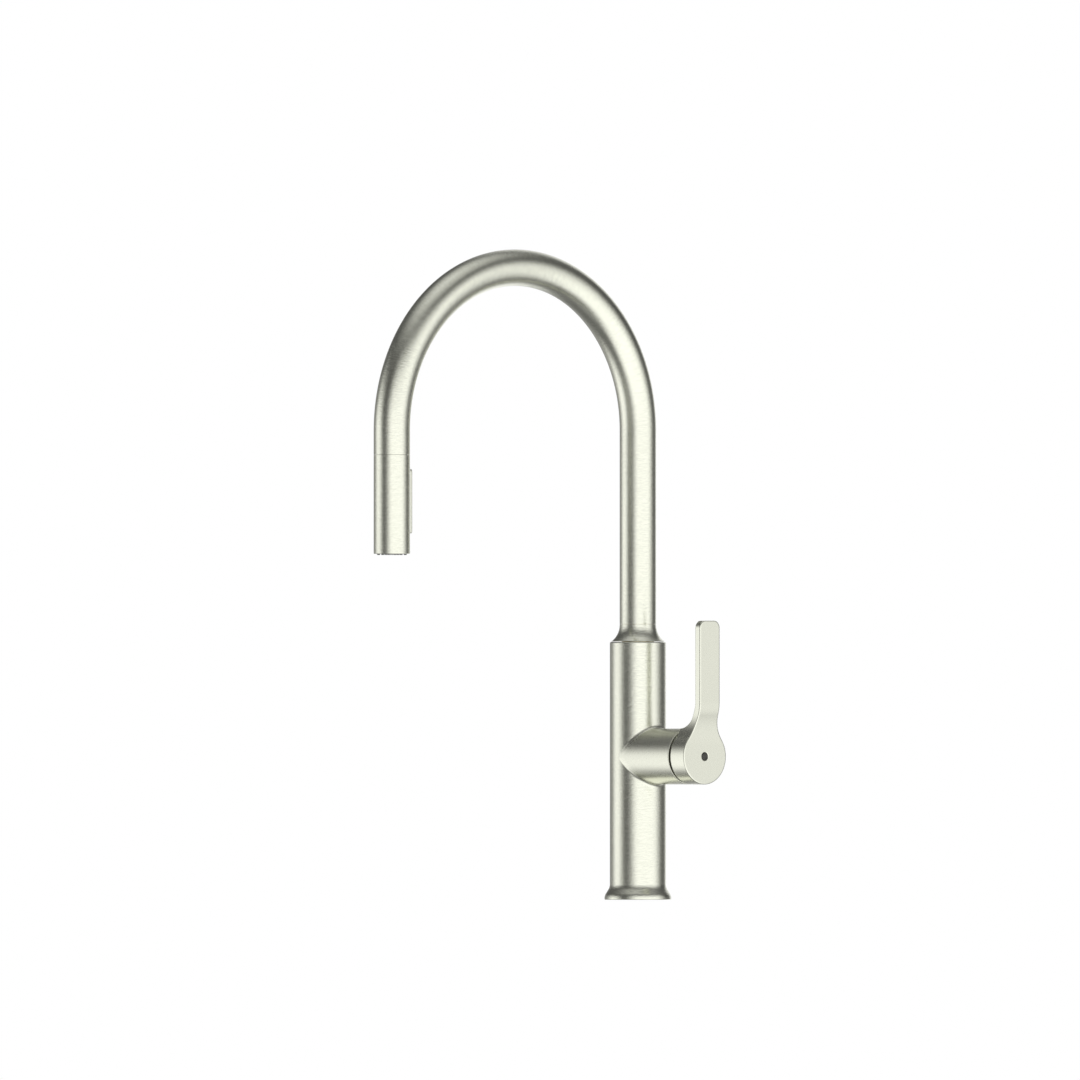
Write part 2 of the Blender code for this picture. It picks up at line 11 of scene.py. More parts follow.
import bmesh
import bpy
import numpy as np
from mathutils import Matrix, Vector


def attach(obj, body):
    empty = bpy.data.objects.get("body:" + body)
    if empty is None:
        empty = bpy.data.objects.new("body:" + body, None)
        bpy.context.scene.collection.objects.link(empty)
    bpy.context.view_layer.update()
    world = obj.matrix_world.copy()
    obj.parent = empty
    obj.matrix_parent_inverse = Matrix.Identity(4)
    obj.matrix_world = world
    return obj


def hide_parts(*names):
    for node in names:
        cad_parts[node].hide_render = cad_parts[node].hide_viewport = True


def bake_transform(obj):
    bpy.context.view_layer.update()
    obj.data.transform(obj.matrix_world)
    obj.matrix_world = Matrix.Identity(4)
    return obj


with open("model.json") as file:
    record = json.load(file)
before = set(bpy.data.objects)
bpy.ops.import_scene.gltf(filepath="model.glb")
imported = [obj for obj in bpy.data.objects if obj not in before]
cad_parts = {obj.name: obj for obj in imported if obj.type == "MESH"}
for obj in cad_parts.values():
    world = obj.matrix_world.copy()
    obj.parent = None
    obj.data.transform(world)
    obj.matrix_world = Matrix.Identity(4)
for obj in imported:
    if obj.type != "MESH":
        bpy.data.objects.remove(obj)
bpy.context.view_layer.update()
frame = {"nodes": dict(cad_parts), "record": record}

MM = 0.001

COLUMN_R = 20.0
COLUMN_BORE_R = 18.0
COLUMN_TOP = 183.75
FOOT_R = 23.8
TUBE_R = 13.0
TUBE_BORE_R = 12.0
ARCH_R = 116.0
ARCH_Z = 334.5
REACH = 2 * ARCH_R
TUBE_LOW = 196.5
TUBE_END = 317.3
HEAD_TOP = 317.2
HEAD_BOTTOM = 246.5
HEAD_BORE_R = 11.6

HANDLE_Z = 102.1
HOUSING_R = 19.9
HOUSING_BORE_R = 17.7
HOUSING_END = 55.8
SADDLE_R = 3.0
CAP_R = 20.0
CAP_REAR = 58.0
CAP_FACE = 73.0
BLADE_FACE = 78.5
BLADE_THICK = 5.6
BLADE_HALF_WIDTH = 9.4
BLADE_TOP = 199.1

BUTTON_Z = 284.0
BUTTON_LENGTH = 46.0
BUTTON_HALF_WIDTH = 5.8
BUTTON_CORNER_R = 1.6
BUTTON_BACK_Y = 10.0
BUTTON_FACE_Y = 14.4

HOSE_R = 5.0

AROUND = 128
SHARP_ANGLE = 32.0

# Points nearer to each other than this are one point.
WELD = 0.0005
# On a turned piece's flat ends, the brush lines move this far along for each mm of radius.
END_LINES = 0.35


# ---- mesh helpers


def arc(centre, radius, start, end, steps):
    """Points along an arc of a flat outline, between two angles in degrees."""
    turns = [radians(start + (end - start) * i / steps) for i in range(steps + 1)]
    return [(centre[0] + radius * cos(t), centre[1] + radius * sin(t)) for t in turns]


class Shell:
    """A mesh under construction: points with their brush coordinates, and faces."""

    def __init__(self):
        self.points = []
        self.brush = []
        self.faces = []

    def loop(self, points, brush=None):
        """Adds a row of points and returns its indices."""
        first = len(self.points)
        self.points += [tuple(p) for p in points]
        self.brush += [tuple(b) for b in (points if brush is None else brush)]
        return list(range(first, len(self.points)))

    def strip(self, near, far):
        """A band of faces between two closed rows of the same length."""
        for i in range(len(near)):
            j = (i + 1) % len(near)
            self.faces.append((near[i], near[j], far[j], far[i]))

    def bands(self, loops, ring=False):
        """Bands between each row and the next, and back to the first one for a ring."""
        for near, far in zip(loops, loops[1:] + ([loops[0]] if ring else [])):
            self.strip(near, far)

    def fan(self, loop, point, brush=None):
        """Closes a row of points on one middle point."""
        middle = self.loop([point], [point if brush is None else brush])[0]
        for i in range(len(loop)):
            self.faces.append((loop[i], loop[(i + 1) % len(loop)], middle))

    def piece(self, name, material):
        """The finished object, welded, with its normals facing out and its brush coordinates."""
        bm = bmesh.new()
        layer = bm.verts.layers.float_vector.new("brush")
        verts = []
        for point, brush in zip(self.points, self.brush):
            vert = bm.verts.new(Vector(point) * MM)
            vert[layer] = Vector(brush)
            verts.append(vert)
        for face in self.faces:
            bm.faces.new([verts[i] for i in face])
        bmesh.ops.remove_doubles(bm, verts=bm.verts, dist=WELD * MM)
        bmesh.ops.dissolve_degenerate(bm, edges=bm.edges, dist=WELD * MM)
        bmesh.ops.recalc_face_normals(bm, faces=bm.faces)
        mesh = bpy.data.meshes.new(name)
        bm.to_mesh(mesh)
        bm.free()
        return shown(name, mesh, material)


def shown(name, mesh, material, sharp=SHARP_ANGLE):
    """An object for a mesh, shaded smooth except at its sharp edges."""
    mesh.shade_smooth()
    mesh.set_sharp_from_angle(angle=radians(sharp))
    mesh.materials.clear()
    mesh.materials.append(material)
    piece = bpy.data.objects.new(name, mesh)
    bpy.context.scene.collection.objects.link(piece)
    return piece


def true_wall(piece, radius, at_y=0.0):
    """Gives a tube's wall its exact normals, as the mesh on it is slanted round an opening."""
    near, same_way = 0.001, 0.9
    mesh = piece.data
    normals = []
    for loop, given in zip(mesh.loops, mesh.corner_normals):
        spot = mesh.vertices[loop.vertex_index].co / MM
        exact = Vector((spot.x, spot.y - at_y, 0.0)) / radius
        on_wall = abs(exact.length - 1.0) < near and exact.dot(given.vector) > same_way
        normals.append(exact.normalized() if on_wall else given.vector)
    mesh.normals_split_custom_set(normals)


def place(piece, body, slot, *nodes):
    """The piece moves with a body and stands for any CAD nodes given; its slot is not used."""
    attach(piece, body)
    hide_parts(*nodes)


def turn_point(radius, angle, height, along="Z", at=(0.0, 0.0, 0.0)):
    """A point at a radius and angle round an axis, at a height along it."""
    u, v = radius * cos(angle), radius * sin(angle)
    local = {"Z": (u, v, height), "X": (height, u, v), "Y": (v, height, u)}[along]
    return tuple(a + b for a, b in zip(local, at))


def lathe(name, outline, material, along="Z", at=(0.0, 0.0, 0.0), sides=AROUND):
    """A turned piece from its section, a row of (radius, height).

    The section closes on itself, as for a ring, or starts and ends on the axis."""
    shell = Shell()
    whole = outline[0][0] == 0.0
    loops = []
    for radius, height in outline[1:-1] if whole else outline:
        points, brush = [], []
        for i in range(sides):
            angle = 2 * pi * i / sides
            points.append(turn_point(radius, angle, height, along, at))
            brush.append(turn_point(radius, angle, height + radius * END_LINES))
        loops.append(shell.loop(points, brush))
    shell.bands(loops, ring=not whole)
    if whole:
        for loop, (_, height) in ((loops[0], outline[0]), (loops[-1], outline[-1])):
            shell.fan(loop, turn_point(0.0, 0.0, height, along, at), (0, 0, height))
    return shell.piece(name, material)


# ---- materials


class Nodes:
    """Short calls for building one material or world."""

    def __init__(self, tree):
        self.tree = tree
        tree.nodes.clear()

    def add(self, kind, **values):
        node = self.tree.nodes.new(kind)
        for key, value in values.items():
            setattr(node, key, value)
        return node

    def link(self, source, target):
        self.tree.links.new(source, target)

    def attribute(self, name, output="Fac"):
        return self.add("ShaderNodeAttribute", attribute_name=name).outputs[output]

    def split(self, vector):
        node = self.add("ShaderNodeSeparateXYZ")
        self.link(vector, node.inputs[0])
        return node.outputs

    def math(self, operation, a, b=0.0, c=0.0):
        node = self.add("ShaderNodeMath", operation=operation)
        for socket, value in zip(node.inputs, (a, b, c)):
            if isinstance(value, (int, float)):
                socket.default_value = value
            else:
                self.link(value, socket)
        return node.outputs[0]

    def remap(self, value, low, high, to_low=0.0, to_high=1.0, smooth=False):
        node = self.add("ShaderNodeMapRange")
        node.interpolation_type = "SMOOTHSTEP" if smooth else "LINEAR"
        self.link(value, node.inputs[0])
        for socket, number in zip(node.inputs[1:5], (low, high, to_low, to_high)):
            socket.default_value = number
        return node.outputs[0]

    def scaled(self, vector, scale):
        node = self.add("ShaderNodeMapping")
        self.link(vector, node.inputs["Vector"])
        node.inputs["Scale"].default_value = scale
        return node.outputs[0]

    def noise(self, vector, scale, detail, roughness):
        node = self.add("ShaderNodeTexNoise")
        self.link(vector, node.inputs["Vector"])
        node.inputs["Scale"].default_value = scale
        node.inputs["Detail"].default_value = detail
        node.inputs["Roughness"].default_value = roughness
        return node.outputs["Fac"]

    def ramp(self, value, stops):
        node = self.add("ShaderNodeValToRGB")
        self.link(value, node.inputs[0])
        elements = node.color_ramp.elements
        while len(elements) < len(stops):
            elements.new(0.5)
        for element, (position, colour) in zip(elements, stops):
            element.position = position
            element.color = (*colour, 1.0)
        return node.outputs[0]

    def bump(self, height, strength, distance):
        node = self.add("ShaderNodeBump")
        self.link(height, node.inputs["Height"])
        node.inputs["Strength"].default_value = strength
        node.inputs["Distance"].default_value = distance
        return node.outputs["Normal"]


def principled(name, metallic=0.0, constants=()):
    """A material with one Principled shader, whose constants sit on its own sockets."""
    material = bpy.data.materials.new(name)
    material.use_nodes = True
    nodes = Nodes(material.node_tree)
    output = nodes.add("ShaderNodeOutputMaterial")
    shader = nodes.add("ShaderNodeBsdfPrincipled")
    shader.inputs["Metallic"].default_value = metallic
    for socket, value in dict(constants).items():
        shader.inputs[socket].default_value = value
    nodes.link(shader.outputs[0], output.inputs[0])
    return material, nodes, shader


def mixed(nodes, share, first, second):
    """A number that goes from first to second as share goes from 0 to 1."""
    return nodes.math("ADD", nodes.math("MULTIPLY", first, nodes.math("SUBTRACT", 1.0, share)),
                      nodes.math("MULTIPLY", second, share))


def grey(value):
    return (value, value, value)


def dress(nodes, shader, colour, roughness, normal):
    """Feeds a material's patterns to its shader."""
    for socket, source in (("Base Color", colour), ("Roughness", roughness), ("Normal", normal)):
        nodes.link(source, shader.inputs[socket])


def tinted(nodes, value, low, high):
    """A colour between two, from a pattern that stays round its middle."""
    return nodes.ramp(value, ((0.25, low), (0.75, high)))


NICKEL_LOW = (0.770, 0.778, 0.671)
NICKEL_HIGH = (0.860, 0.869, 0.757)

# How closely each pattern of the nickel repeats, across and along the tube, for each mm.
LONG_LINES = (0.15, 0.15, 1.1)
FINE_LINES = (0.35, 0.35, 3.4)
FEATHER = (0.40, 0.40, 1.5)
COARSE_SAND = (0.55, 0.55, 0.8)
FINE_SAND = (1.3, 1.3, 1.6)
CLOUD = (0.02, 0.02, 0.02)

# How much the "sand" value roughens the nickel, and how deep sand is next to the lines.
SAND_ROUGHNESS = 0.10
SAND_DEPTH = 0.11


def brushed(name, sand_share=0.25, rough=(0.12, 0.29), tone=0.08):
    """Brushed nickel: long fine lines round a tube, with a share of sandy grain.

    The mesh's own "sand" value, 0 to 1, adds more grain where a surface isn't brushed round.
    The smaller the tone, the more the brightness varies."""
    material, nodes, shader = principled(name, 1.0, {"Anisotropic": 0.35})
    at = nodes.attribute("brush", "Vector")
    more = nodes.attribute("sand")
    share = nodes.remap(more, 0.0, 1.0, sand_share, 1.0)

    def pattern_at(stretch, detail, roughness):
        return nodes.noise(nodes.scaled(at, stretch), 1.0, detail, roughness)

    lines = mixed(nodes, 0.5, pattern_at(LONG_LINES, 3.0, 0.65), pattern_at(FINE_LINES, 2.0, 0.6))
    sand = mixed(nodes, 0.35, pattern_at(FINE_SAND, 3.0, 0.7), pattern_at(COARSE_SAND, 2.0, 0.6))
    pattern = mixed(nodes, share, lines, sand)
    colour = nodes.ramp(pattern, ((0.5 - tone, NICKEL_LOW), (0.5 + tone, NICKEL_HIGH)))
    cloudy = mixed(nodes, 0.3, pattern, pattern_at(CLOUD, 2.0, 0.5))
    spread = nodes.remap(cloudy, 0.3, 0.7, *rough)
    roughness = nodes.math("MULTIPLY_ADD", more, SAND_ROUGHNESS, spread)
    feathered = mixed(nodes, 0.35, lines, pattern_at(FEATHER, 1.0, 0.5))
    height = mixed(nodes, share, feathered, nodes.math("MULTIPLY", sand, SAND_DEPTH))
    dress(nodes, shader, colour, roughness, nodes.bump(height, 0.55, 0.5 * MM))
    return material


def grained(name, low, high, rough, metallic=0.0, scale=900.0, stretch=(1, 1, 1), bump=0.08,
            constants=()):
    """A moulded, cast or machined surface, with a fine grain on its own coordinates."""
    material, nodes, shader = principled(name, metallic, constants)
    at = nodes.add("ShaderNodeTexCoord").outputs["Object"]
    fine = nodes.noise(nodes.scaled(at, stretch), scale, 3.0, 0.55)
    broad = nodes.noise(at, 60.0, 2.0, 0.5)
    pattern = mixed(nodes, 0.35, fine, broad)
    dress(nodes, shader, tinted(nodes, pattern, low, high), nodes.remap(pattern, 0.3, 0.7, *rough),
          nodes.bump(fine, bump, 0.1 * MM))
    return material


# The braid's strands in each direction, and how far they turn for each mm along, in radians.
STRANDS = 12.0
STRAND_TURN = 3.2
BRAID_LOW = grey(0.055)
BRAID_HIGH = (0.30, 0.30, 0.29)


def braid_length(nodes, length):
    """The length along the hose, or the height where the hose is drawn out of the spout."""
    height = nodes.split(nodes.add("ShaderNodeTexCoord").outputs["Object"])[2]
    return mixed(nodes, nodes.attribute("drawn"), length, nodes.math("MULTIPLY", height, -1.0 / MM))


def braided(name):
    """A grey braided sleeve: two sets of crossing strands.

    The hose's brush coordinates are the cosine and sine round it and the length along it."""
    material, nodes, shader = principled(name, 0.0, {"Sheen Weight": 0.2, "Sheen Roughness": 0.4})
    across, up, length = nodes.split(nodes.attribute("brush", "Vector"))
    length = braid_length(nodes, length)
    turn = nodes.math("ARCTAN2", up, across)
    strands = []
    for lean in (STRANDS, -STRANDS):
        slant = nodes.math("MULTIPLY_ADD", turn, lean, nodes.math("MULTIPLY", length, STRAND_TURN))
        strands.append(nodes.remap(nodes.math("SINE", slant), -1.0, 1.0))
    weave = nodes.math("MAXIMUM", *strands)
    along = nodes.add("ShaderNodeCombineXYZ")
    for socket, part in zip(along.inputs, (across, up, length)):
        nodes.link(part, socket)
    fuzz = nodes.noise(nodes.scaled(along.outputs[0], (8.0, 8.0, 2.0)), 1.0, 2.0, 0.6)
    pattern = mixed(nodes, 0.3, weave, fuzz)
    dress(nodes, shader, tinted(nodes, pattern, BRAID_LOW, BRAID_HIGH),
          nodes.remap(pattern, 0.2, 0.9, 0.7, 0.45), nodes.bump(weave, 0.5, 0.3 * MM))
    return material


TURNED = (0.3, 0.3, 3.0)
# Each grained finish: the material's name, its darkest and lightest colours, its roughness from
# least to most, and whatever else differs from a plain moulded surface.
GRAINED = {
    "dark_nickel": ("dark_nickel", (0.07, 0.07, 0.065), (0.13, 0.13, 0.12), (0.35, 0.5),
                    {"metallic": 1.0}),
    "brass": ("machined_brass", (0.58, 0.41, 0.17), (0.76, 0.57, 0.28), (0.25, 0.42),
              {"metallic": 1.0, "scale": 700.0, "stretch": TURNED}),
    "stainless_steel": ("machined_steel", (0.5, 0.5, 0.48), (0.68, 0.68, 0.66), (0.22, 0.36),
                        {"metallic": 1.0, "scale": 800.0, "stretch": TURNED}),
    "magnet": ("sintered_magnet", grey(0.07), grey(0.14), (0.4, 0.6),
               {"metallic": 0.8, "scale": 500.0}),
    "ceramic": ("lapped_ceramic", (0.80, 0.78, 0.73), (0.90, 0.88, 0.84), (0.12, 0.25),
                {"scale": 400.0, "constants": {"IOR": 1.7}}),
    "natural_plastic": ("natural_plastic", (0.74, 0.74, 0.71), (0.86, 0.86, 0.84), (0.4, 0.55),
                        {"scale": 700.0, "constants": {"Subsurface Weight": 0.05}}),
    "dark_plastic": ("dark_plastic", grey(0.022), grey(0.05), (0.42, 0.6), {}),
    "red_plastic": ("red_plastic", (0.46, 0.04, 0.03), (0.66, 0.08, 0.05), (0.38, 0.55),
                    {"scale": 700.0}),
    "nozzle_silicone": ("nozzle_silicone", (0.12, 0.12, 0.115), (0.19, 0.19, 0.18), (0.55, 0.75),
                        {"scale": 800.0}),
    "black_rubber": ("black_rubber", grey(0.018), grey(0.045), (0.6, 0.85),
                     {"bump": 0.2}),
}


def make_materials():
    """One material for each of the record's finishes, and the lever's and button's own nickel."""
    materials = {slot: grained(name, low, high, rough, **more)
                 for slot, (name, low, high, rough, more) in GRAINED.items()}
    materials["satin_nickel"] = brushed("brushed_nickel")
    materials["sandy_nickel"] = brushed("sandy_nickel", 0.9, (0.22, 0.32), 0.26)
    materials["button_nickel"] = brushed("button_nickel", 0.7, (0.22, 0.32), 0.15)
    materials["hose_braid"] = braided("braided_sleeve")
    return materials


# ---- spout and hose


ARCH_STEPS = 160
RISER_STEPS = 6


def centre_line():
    """The spout's line as (y, z, lean, length along it): riser, half circle and down leg."""
    riser = ARCH_Z - TUBE_LOW
    line = []
    for i in range(RISER_STEPS):
        length = riser * i / RISER_STEPS
        line.append((0.0, TUBE_LOW + length, 0.0, length))
    for i in range(ARCH_STEPS + 1):
        t = pi * i / ARCH_STEPS
        line.append((-ARCH_R + ARCH_R * cos(t), ARCH_Z + ARCH_R * sin(t), t, riser + ARCH_R * t))
    line.append((-REACH, TUBE_END, pi, riser + ARCH_R * pi + ARCH_Z - TUBE_END))
    return line


def ring_at(shell, station, radius, shift=0.0):
    """One ring of the spout round its line, moved along the line by shift."""
    y, z, lean, length = station
    points, brush = [], []
    for i in range(AROUND):
        a = 2 * pi * i / AROUND
        out = radius * cos(a)
        points.append((radius * sin(a), y + out * cos(lean) - shift * sin(lean),
                       z + out * sin(lean) + shift * cos(lean)))
        brush.append((radius * sin(a), out, length + shift))
    return shell.loop(points, brush)


def spout_tube(materials):
    """The swept tube with its open bore and eased ends."""
    shell = Shell()
    line = centre_line()
    ease_r, hold = 0.12, 0.6
    first, last = line[0], line[-1]
    rings = []
    for r, s in arc((TUBE_R - ease_r, ease_r), ease_r, -90.0, 0.0, 3):
        rings.append(ring_at(shell, first, r, s))
    rings.append(ring_at(shell, first, TUBE_R, hold))
    rings += [ring_at(shell, station, TUBE_R) for station in line[1:-1]]
    rings.append(ring_at(shell, last, TUBE_R, -hold))
    for r, s in arc((TUBE_R - ease_r, -ease_r), ease_r, 0.0, 90.0, 3):
        rings.append(ring_at(shell, last, r, s))
    rings += [ring_at(shell, station, TUBE_BORE_R) for station in line[::-1]]
    shell.bands(rings, ring=True)
    piece = shell.piece("brushed_spout", materials["satin_nickel"])
    place(piece, "spout", "satin_nickel", "spout_tube")


def smooth(t):
    """Goes from 0 to 1 with a level start and end."""
    return t * t * (3.0 - 2.0 * t)


HOSE_SIDES = 24
# The heights where the hose's three lengths part, both hidden in the spout, and the gap there.
HOSE_DRAWN_TOP = 333.98
HOSE_PARTING = 190.0
HOSE_GAP = 0.15


def hose_route():
    """The same route as the CAD hose, with many points where it draws out of the spout."""
    side, foot_x, foot_z = -8.5, -7.0, 24.3
    draw_z, draw_length, draw_steps = 328.5, 5.5, 90
    arch_steps, aside_steps, foot_steps = 60, 12, 8
    aside_z, aside_length, foot_start = 172.0, 54.0, 82.0
    route = [(0.0, -REACH, 312.0), (0.0, -REACH, 320.0), (0.0, -REACH, 328.0)]
    route += [(0.0, -REACH, draw_z + draw_length * i / draw_steps) for i in range(draw_steps + 1)]
    for i in range(arch_steps + 1):
        t = pi - pi * i / arch_steps
        route.append((0.0, -ARCH_R + ARCH_R * cos(t), ARCH_Z + ARCH_R * sin(t)))
    route += [(0.0, 0.0, float(z)) for z in range(325, 180, -10)]
    for i in range(aside_steps + 1):
        share = i / aside_steps
        route.append((side * smooth(share), 0.0, aside_z - aside_length * share))
    route += [(side, 0.0, 108.0), (side, 0.0, 95.0)]
    for i in range(foot_steps + 1):
        share = i / foot_steps
        x = side + (foot_x - side) * smooth(share)
        route.append((x, 0.0, foot_start - (foot_start - foot_z) * share))
    return [np.array(p) for p in route]


def hose_length(name, route, material):
    """One length of the braided hose along a route, closed at both ends."""
    shell = Shell()
    loops = []
    length = 0.0
    for i, at in enumerate(route):
        before, after = route[max(i - 1, 0)], route[min(i + 1, len(route) - 1)]
        ahead = (after - before) / np.linalg.norm(after - before)
        if i:
            length += float(np.linalg.norm(at - route[i - 1]))
        across = np.array((1.0, 0.0, 0.0)) - ahead * ahead[0]
        across /= np.linalg.norm(across)
        up = np.cross(ahead, across)
        points, brush = [], []
        for k in range(HOSE_SIDES):
            a = 2 * pi * k / HOSE_SIDES
            points.append(at + HOSE_R * (cos(a) * across + sin(a) * up))
            brush.append((cos(a), sin(a), length))
        loops.append(shell.loop(points, brush))
    shell.bands(loops)
    shell.fan(loops[0], route[0], (0.0, 0.0, 0.0))
    shell.fan(loops[-1], route[-1], (0.0, 0.0, length))
    return shell.piece(name, material)


def hose(materials):
    """The braided hose: the length that draws out of the spout is only marked as drawn, one swings with
    the spout, one stays below.
    """
    route = hose_route()
    bend = next(i for i, at in enumerate(route) if at[2] > HOSE_DRAWN_TOP)
    parting = next(i for i, at in enumerate(route) if at[1] > -0.1 and at[2] < HOSE_PARTING)
    drawn = hose_length("drawn_hose", route[:bend], materials["hose_braid"])
    ones = [1.0] * len(drawn.data.vertices)
    drawn.data.attributes.new("drawn", "FLOAT", "POINT").data.foreach_set("value", ones)
    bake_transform(drawn)
    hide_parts("pull_down_hose")
    gap = np.array((0.0, 0.0, HOSE_GAP))
    over = [route[bend - 1] + gap] + route[bend:parting + 1]
    place(hose_length("arch_hose", over, materials["hose_braid"]), "spout", "hose_braid")
    below = [route[parting] - gap] + route[parting + 1:]
    place(hose_length("lower_hose", below, materials["hose_braid"]), "faucet_body", "hose_braid")


# ---- column and housing


def column_outline():
    """The column's outer side from the foot up, as (radius, height)."""
    hollow_r, crown_r, edge_r = 8.2, 6.4, 0.6
    edge = arc((FOOT_R - edge_r, edge_r), edge_r, -90.0, 0.0, 6)
    crown = arc((FOOT_R - crown_r, 1.0), crown_r, 0.0, 35.0, 20)
    hollow = arc((COLUMN_R + hollow_r, 11.3), hollow_r, 215.0, 180.0, 20)[1:]
    return edge + crown + hollow


# The mesh round an opening in a tube: points across and up each side, rings from the opening
# out, how much closer those rings are at the opening, and half the height it takes up.
SADDLE_ACROSS = 128
SADDLE_SIDE = 36
SADDLE_RINGS = 44
SADDLE_CROWDING = 1.4
SADDLE_HALF = 34.0

FILLET_STEPS = 8
WALL_STEPS = 12
HEAD_SADDLE_HALF = 29.0


def frame_points():
    """Angle and height round the outer rim of that mesh, once round from the seam."""
    half = [(-pi + 2 * pi * i / SADDLE_ACROSS, SADDLE_HALF) for i in range(SADDLE_ACROSS)]
    half += [(pi, SADDLE_HALF - 2 * SADDLE_HALF * i / SADDLE_SIDE) for i in range(SADDLE_SIDE)]
    return half + [(-angle, -height) for angle, height in half]


def frame_turns():
    """The turn round the opening that each point of that rim belongs to."""
    corner = radians(62.0)
    half = [-corner + 2 * corner * i / SADDLE_ACROSS for i in range(SADDLE_ACROSS)]
    half += [corner + (pi - 2 * corner) * i / SADDLE_SIDE for i in range(SADDLE_SIDE)]
    return half + [turn + pi for turn in half]


def holed_wall(shell, radius, opening, middle=HANDLE_Z, half=SADDLE_HALF):
    """The wall of a tube round an opening, from the opening's rim out to two level rings.

    The opening is a row of (angle, height) on the wall, one for each point of the rim."""
    rim = [(angle, height * half / SADDLE_HALF) for angle, height in frame_points()]
    rings = []
    for step in range(SADDLE_RINGS + 1):
        share = (step / SADDLE_RINGS) ** SADDLE_CROWDING
        row = []
        for (a0, h0), (a1, h1) in zip(opening, rim):
            a, h = a0 + (a1 - a0) * share, h0 + (h1 - h0) * share
            row.append((radius * cos(a), radius * sin(a), middle + h))
        rings.append(shell.loop(row))
    shell.bands(rings)
    top = rings[-1][:SADDLE_ACROSS]
    first_low = SADDLE_ACROSS + SADDLE_SIDE
    low = rings[-1][first_low:first_low + SADDLE_ACROSS]
    return rings[0], top, low[:1] + low[:0:-1]


def housing_curve(wall_r, bore_r, turns):
    """Where a tube along X cuts a tube along Z, with its height from the housing's axis."""
    points = []
    for turn in turns:
        y, z = bore_r * sin(turn), bore_r * cos(turn)
        points.append((sqrt(max(wall_r * wall_r - y * y, 0.0)), y, z))
    return points


def column_ring(shell, radius, height):
    """A level ring, with its points where the mesh round an opening has its own."""
    angles = [-pi + 2 * pi * i / SADDLE_ACROSS for i in range(SADDLE_ACROSS)]
    return shell.loop([(radius * cos(a), radius * sin(a), height) for a in angles])


def column_rings(shell, outline):
    """Level rings for a section (radius, height)."""
    return [column_ring(shell, radius, height) for radius, height in outline]


def housing_ring(shell, radius, x, turns):
    """An upright ring of the housing."""
    return shell.loop([(x, radius * sin(t), HANDLE_Z + radius * cos(t)) for t in turns])


def mark_housing(mesh):
    """Gives the housing and its fillet a sandy grain, which fades in over the fillet."""
    fade = 1.5
    spots = np.empty(len(mesh.vertices) * 3)
    mesh.vertices.foreach_get("co", spots)
    spots = spots.reshape(-1, 3) / MM
    outside = np.hypot(spots[:, 0], spots[:, 1]) - COLUMN_R
    share = np.clip(outside / fade, 0.0, 1.0) * (spots[:, 2] > HANDLE_Z - SADDLE_HALF)
    mesh.attributes.new("sand", "FLOAT", "POINT").data.foreach_set("value", share)


def fillet_rows(shell, rim, centres):
    """The small fillet, from the column's wall to the housing's, round a rolling ball's centres."""
    rows = [rim]
    for step in range(1, FILLET_STEPS + 1):
        share = step / FILLET_STEPS
        row = []
        for x, y, z in centres:
            to_column = np.array((-x, -y, 0.0)) / (COLUMN_R + SADDLE_R)
            to_housing = np.array((0.0, -y, -z)) / (HOUSING_R + SADDLE_R)
            between = np.arccos(np.clip(to_column @ to_housing, -1.0, 1.0))
            ray = to_column * sin((1 - share) * between) + to_housing * sin(share * between)
            row.append(np.array((x, y, z + HANDLE_Z)) + SADDLE_R * ray / sin(between))
        rows.append(shell.loop(row))
    shell.bands(rows)
    return rows[-1]


def housing_rows(shell, root, turns):
    """The housing's outside, from the fillet's edge, and its eased open end."""
    edge_r, bore_ease, straight_end = 0.5, 0.3, HOUSING_END - 1.2
    rows = [root]
    start = np.array([shell.points[i] for i in root])
    for share in np.linspace(0.0, 1.0, 10)[1:]:
        x = start[:, 0] + (straight_end - start[:, 0]) * share
        rows.append(shell.loop(np.column_stack((x, start[:, 1], start[:, 2]))))
    for r, x in arc((HOUSING_R - edge_r, HOUSING_END - edge_r), edge_r, 0.0, 90.0, 5):
        rows.append(housing_ring(shell, r, x, turns))
    rows.append(housing_ring(shell, HOUSING_BORE_R + bore_ease, HOUSING_END, turns))
    rows.append(housing_ring(shell, HOUSING_BORE_R, HOUSING_END - bore_ease, turns))
    return rows


def lower_wall(shell, outer, inner):
    """The column below the housing, down round the foot and its recess, and up the bore."""
    recess_r, recess_depth, crown_z = 21.4, 1.9, 12.0
    rows = [outer]
    for z in list(np.linspace(HANDLE_Z - SADDLE_HALF, 14.0, WALL_STEPS)[1:]) + [crown_z]:
        rows.append(column_ring(shell, COLUMN_R, z))
    recess = [(recess_r, 0.0), (recess_r, recess_depth), (COLUMN_BORE_R, recess_depth)]
    rows += column_rings(shell, column_outline()[::-1] + recess)
    shell.bands(rows + [inner])


def upper_wall(shell, outer, inner):
    """The column above the housing, up over its eased top edge, and down the bore."""
    edge_r = 1.0
    rows = [outer]
    for z in np.linspace(HANDLE_Z + SADDLE_HALF, COLUMN_TOP - 2 * edge_r, WALL_STEPS)[1:]:
        rows.append(column_ring(shell, COLUMN_R, z))
    edge = arc((COLUMN_R - edge_r, COLUMN_TOP - edge_r), edge_r, 0.0, 90.0, 8)
    rows += column_rings(shell, edge + [(COLUMN_BORE_R, COLUMN_TOP)])
    shell.bands(rows + [inner])


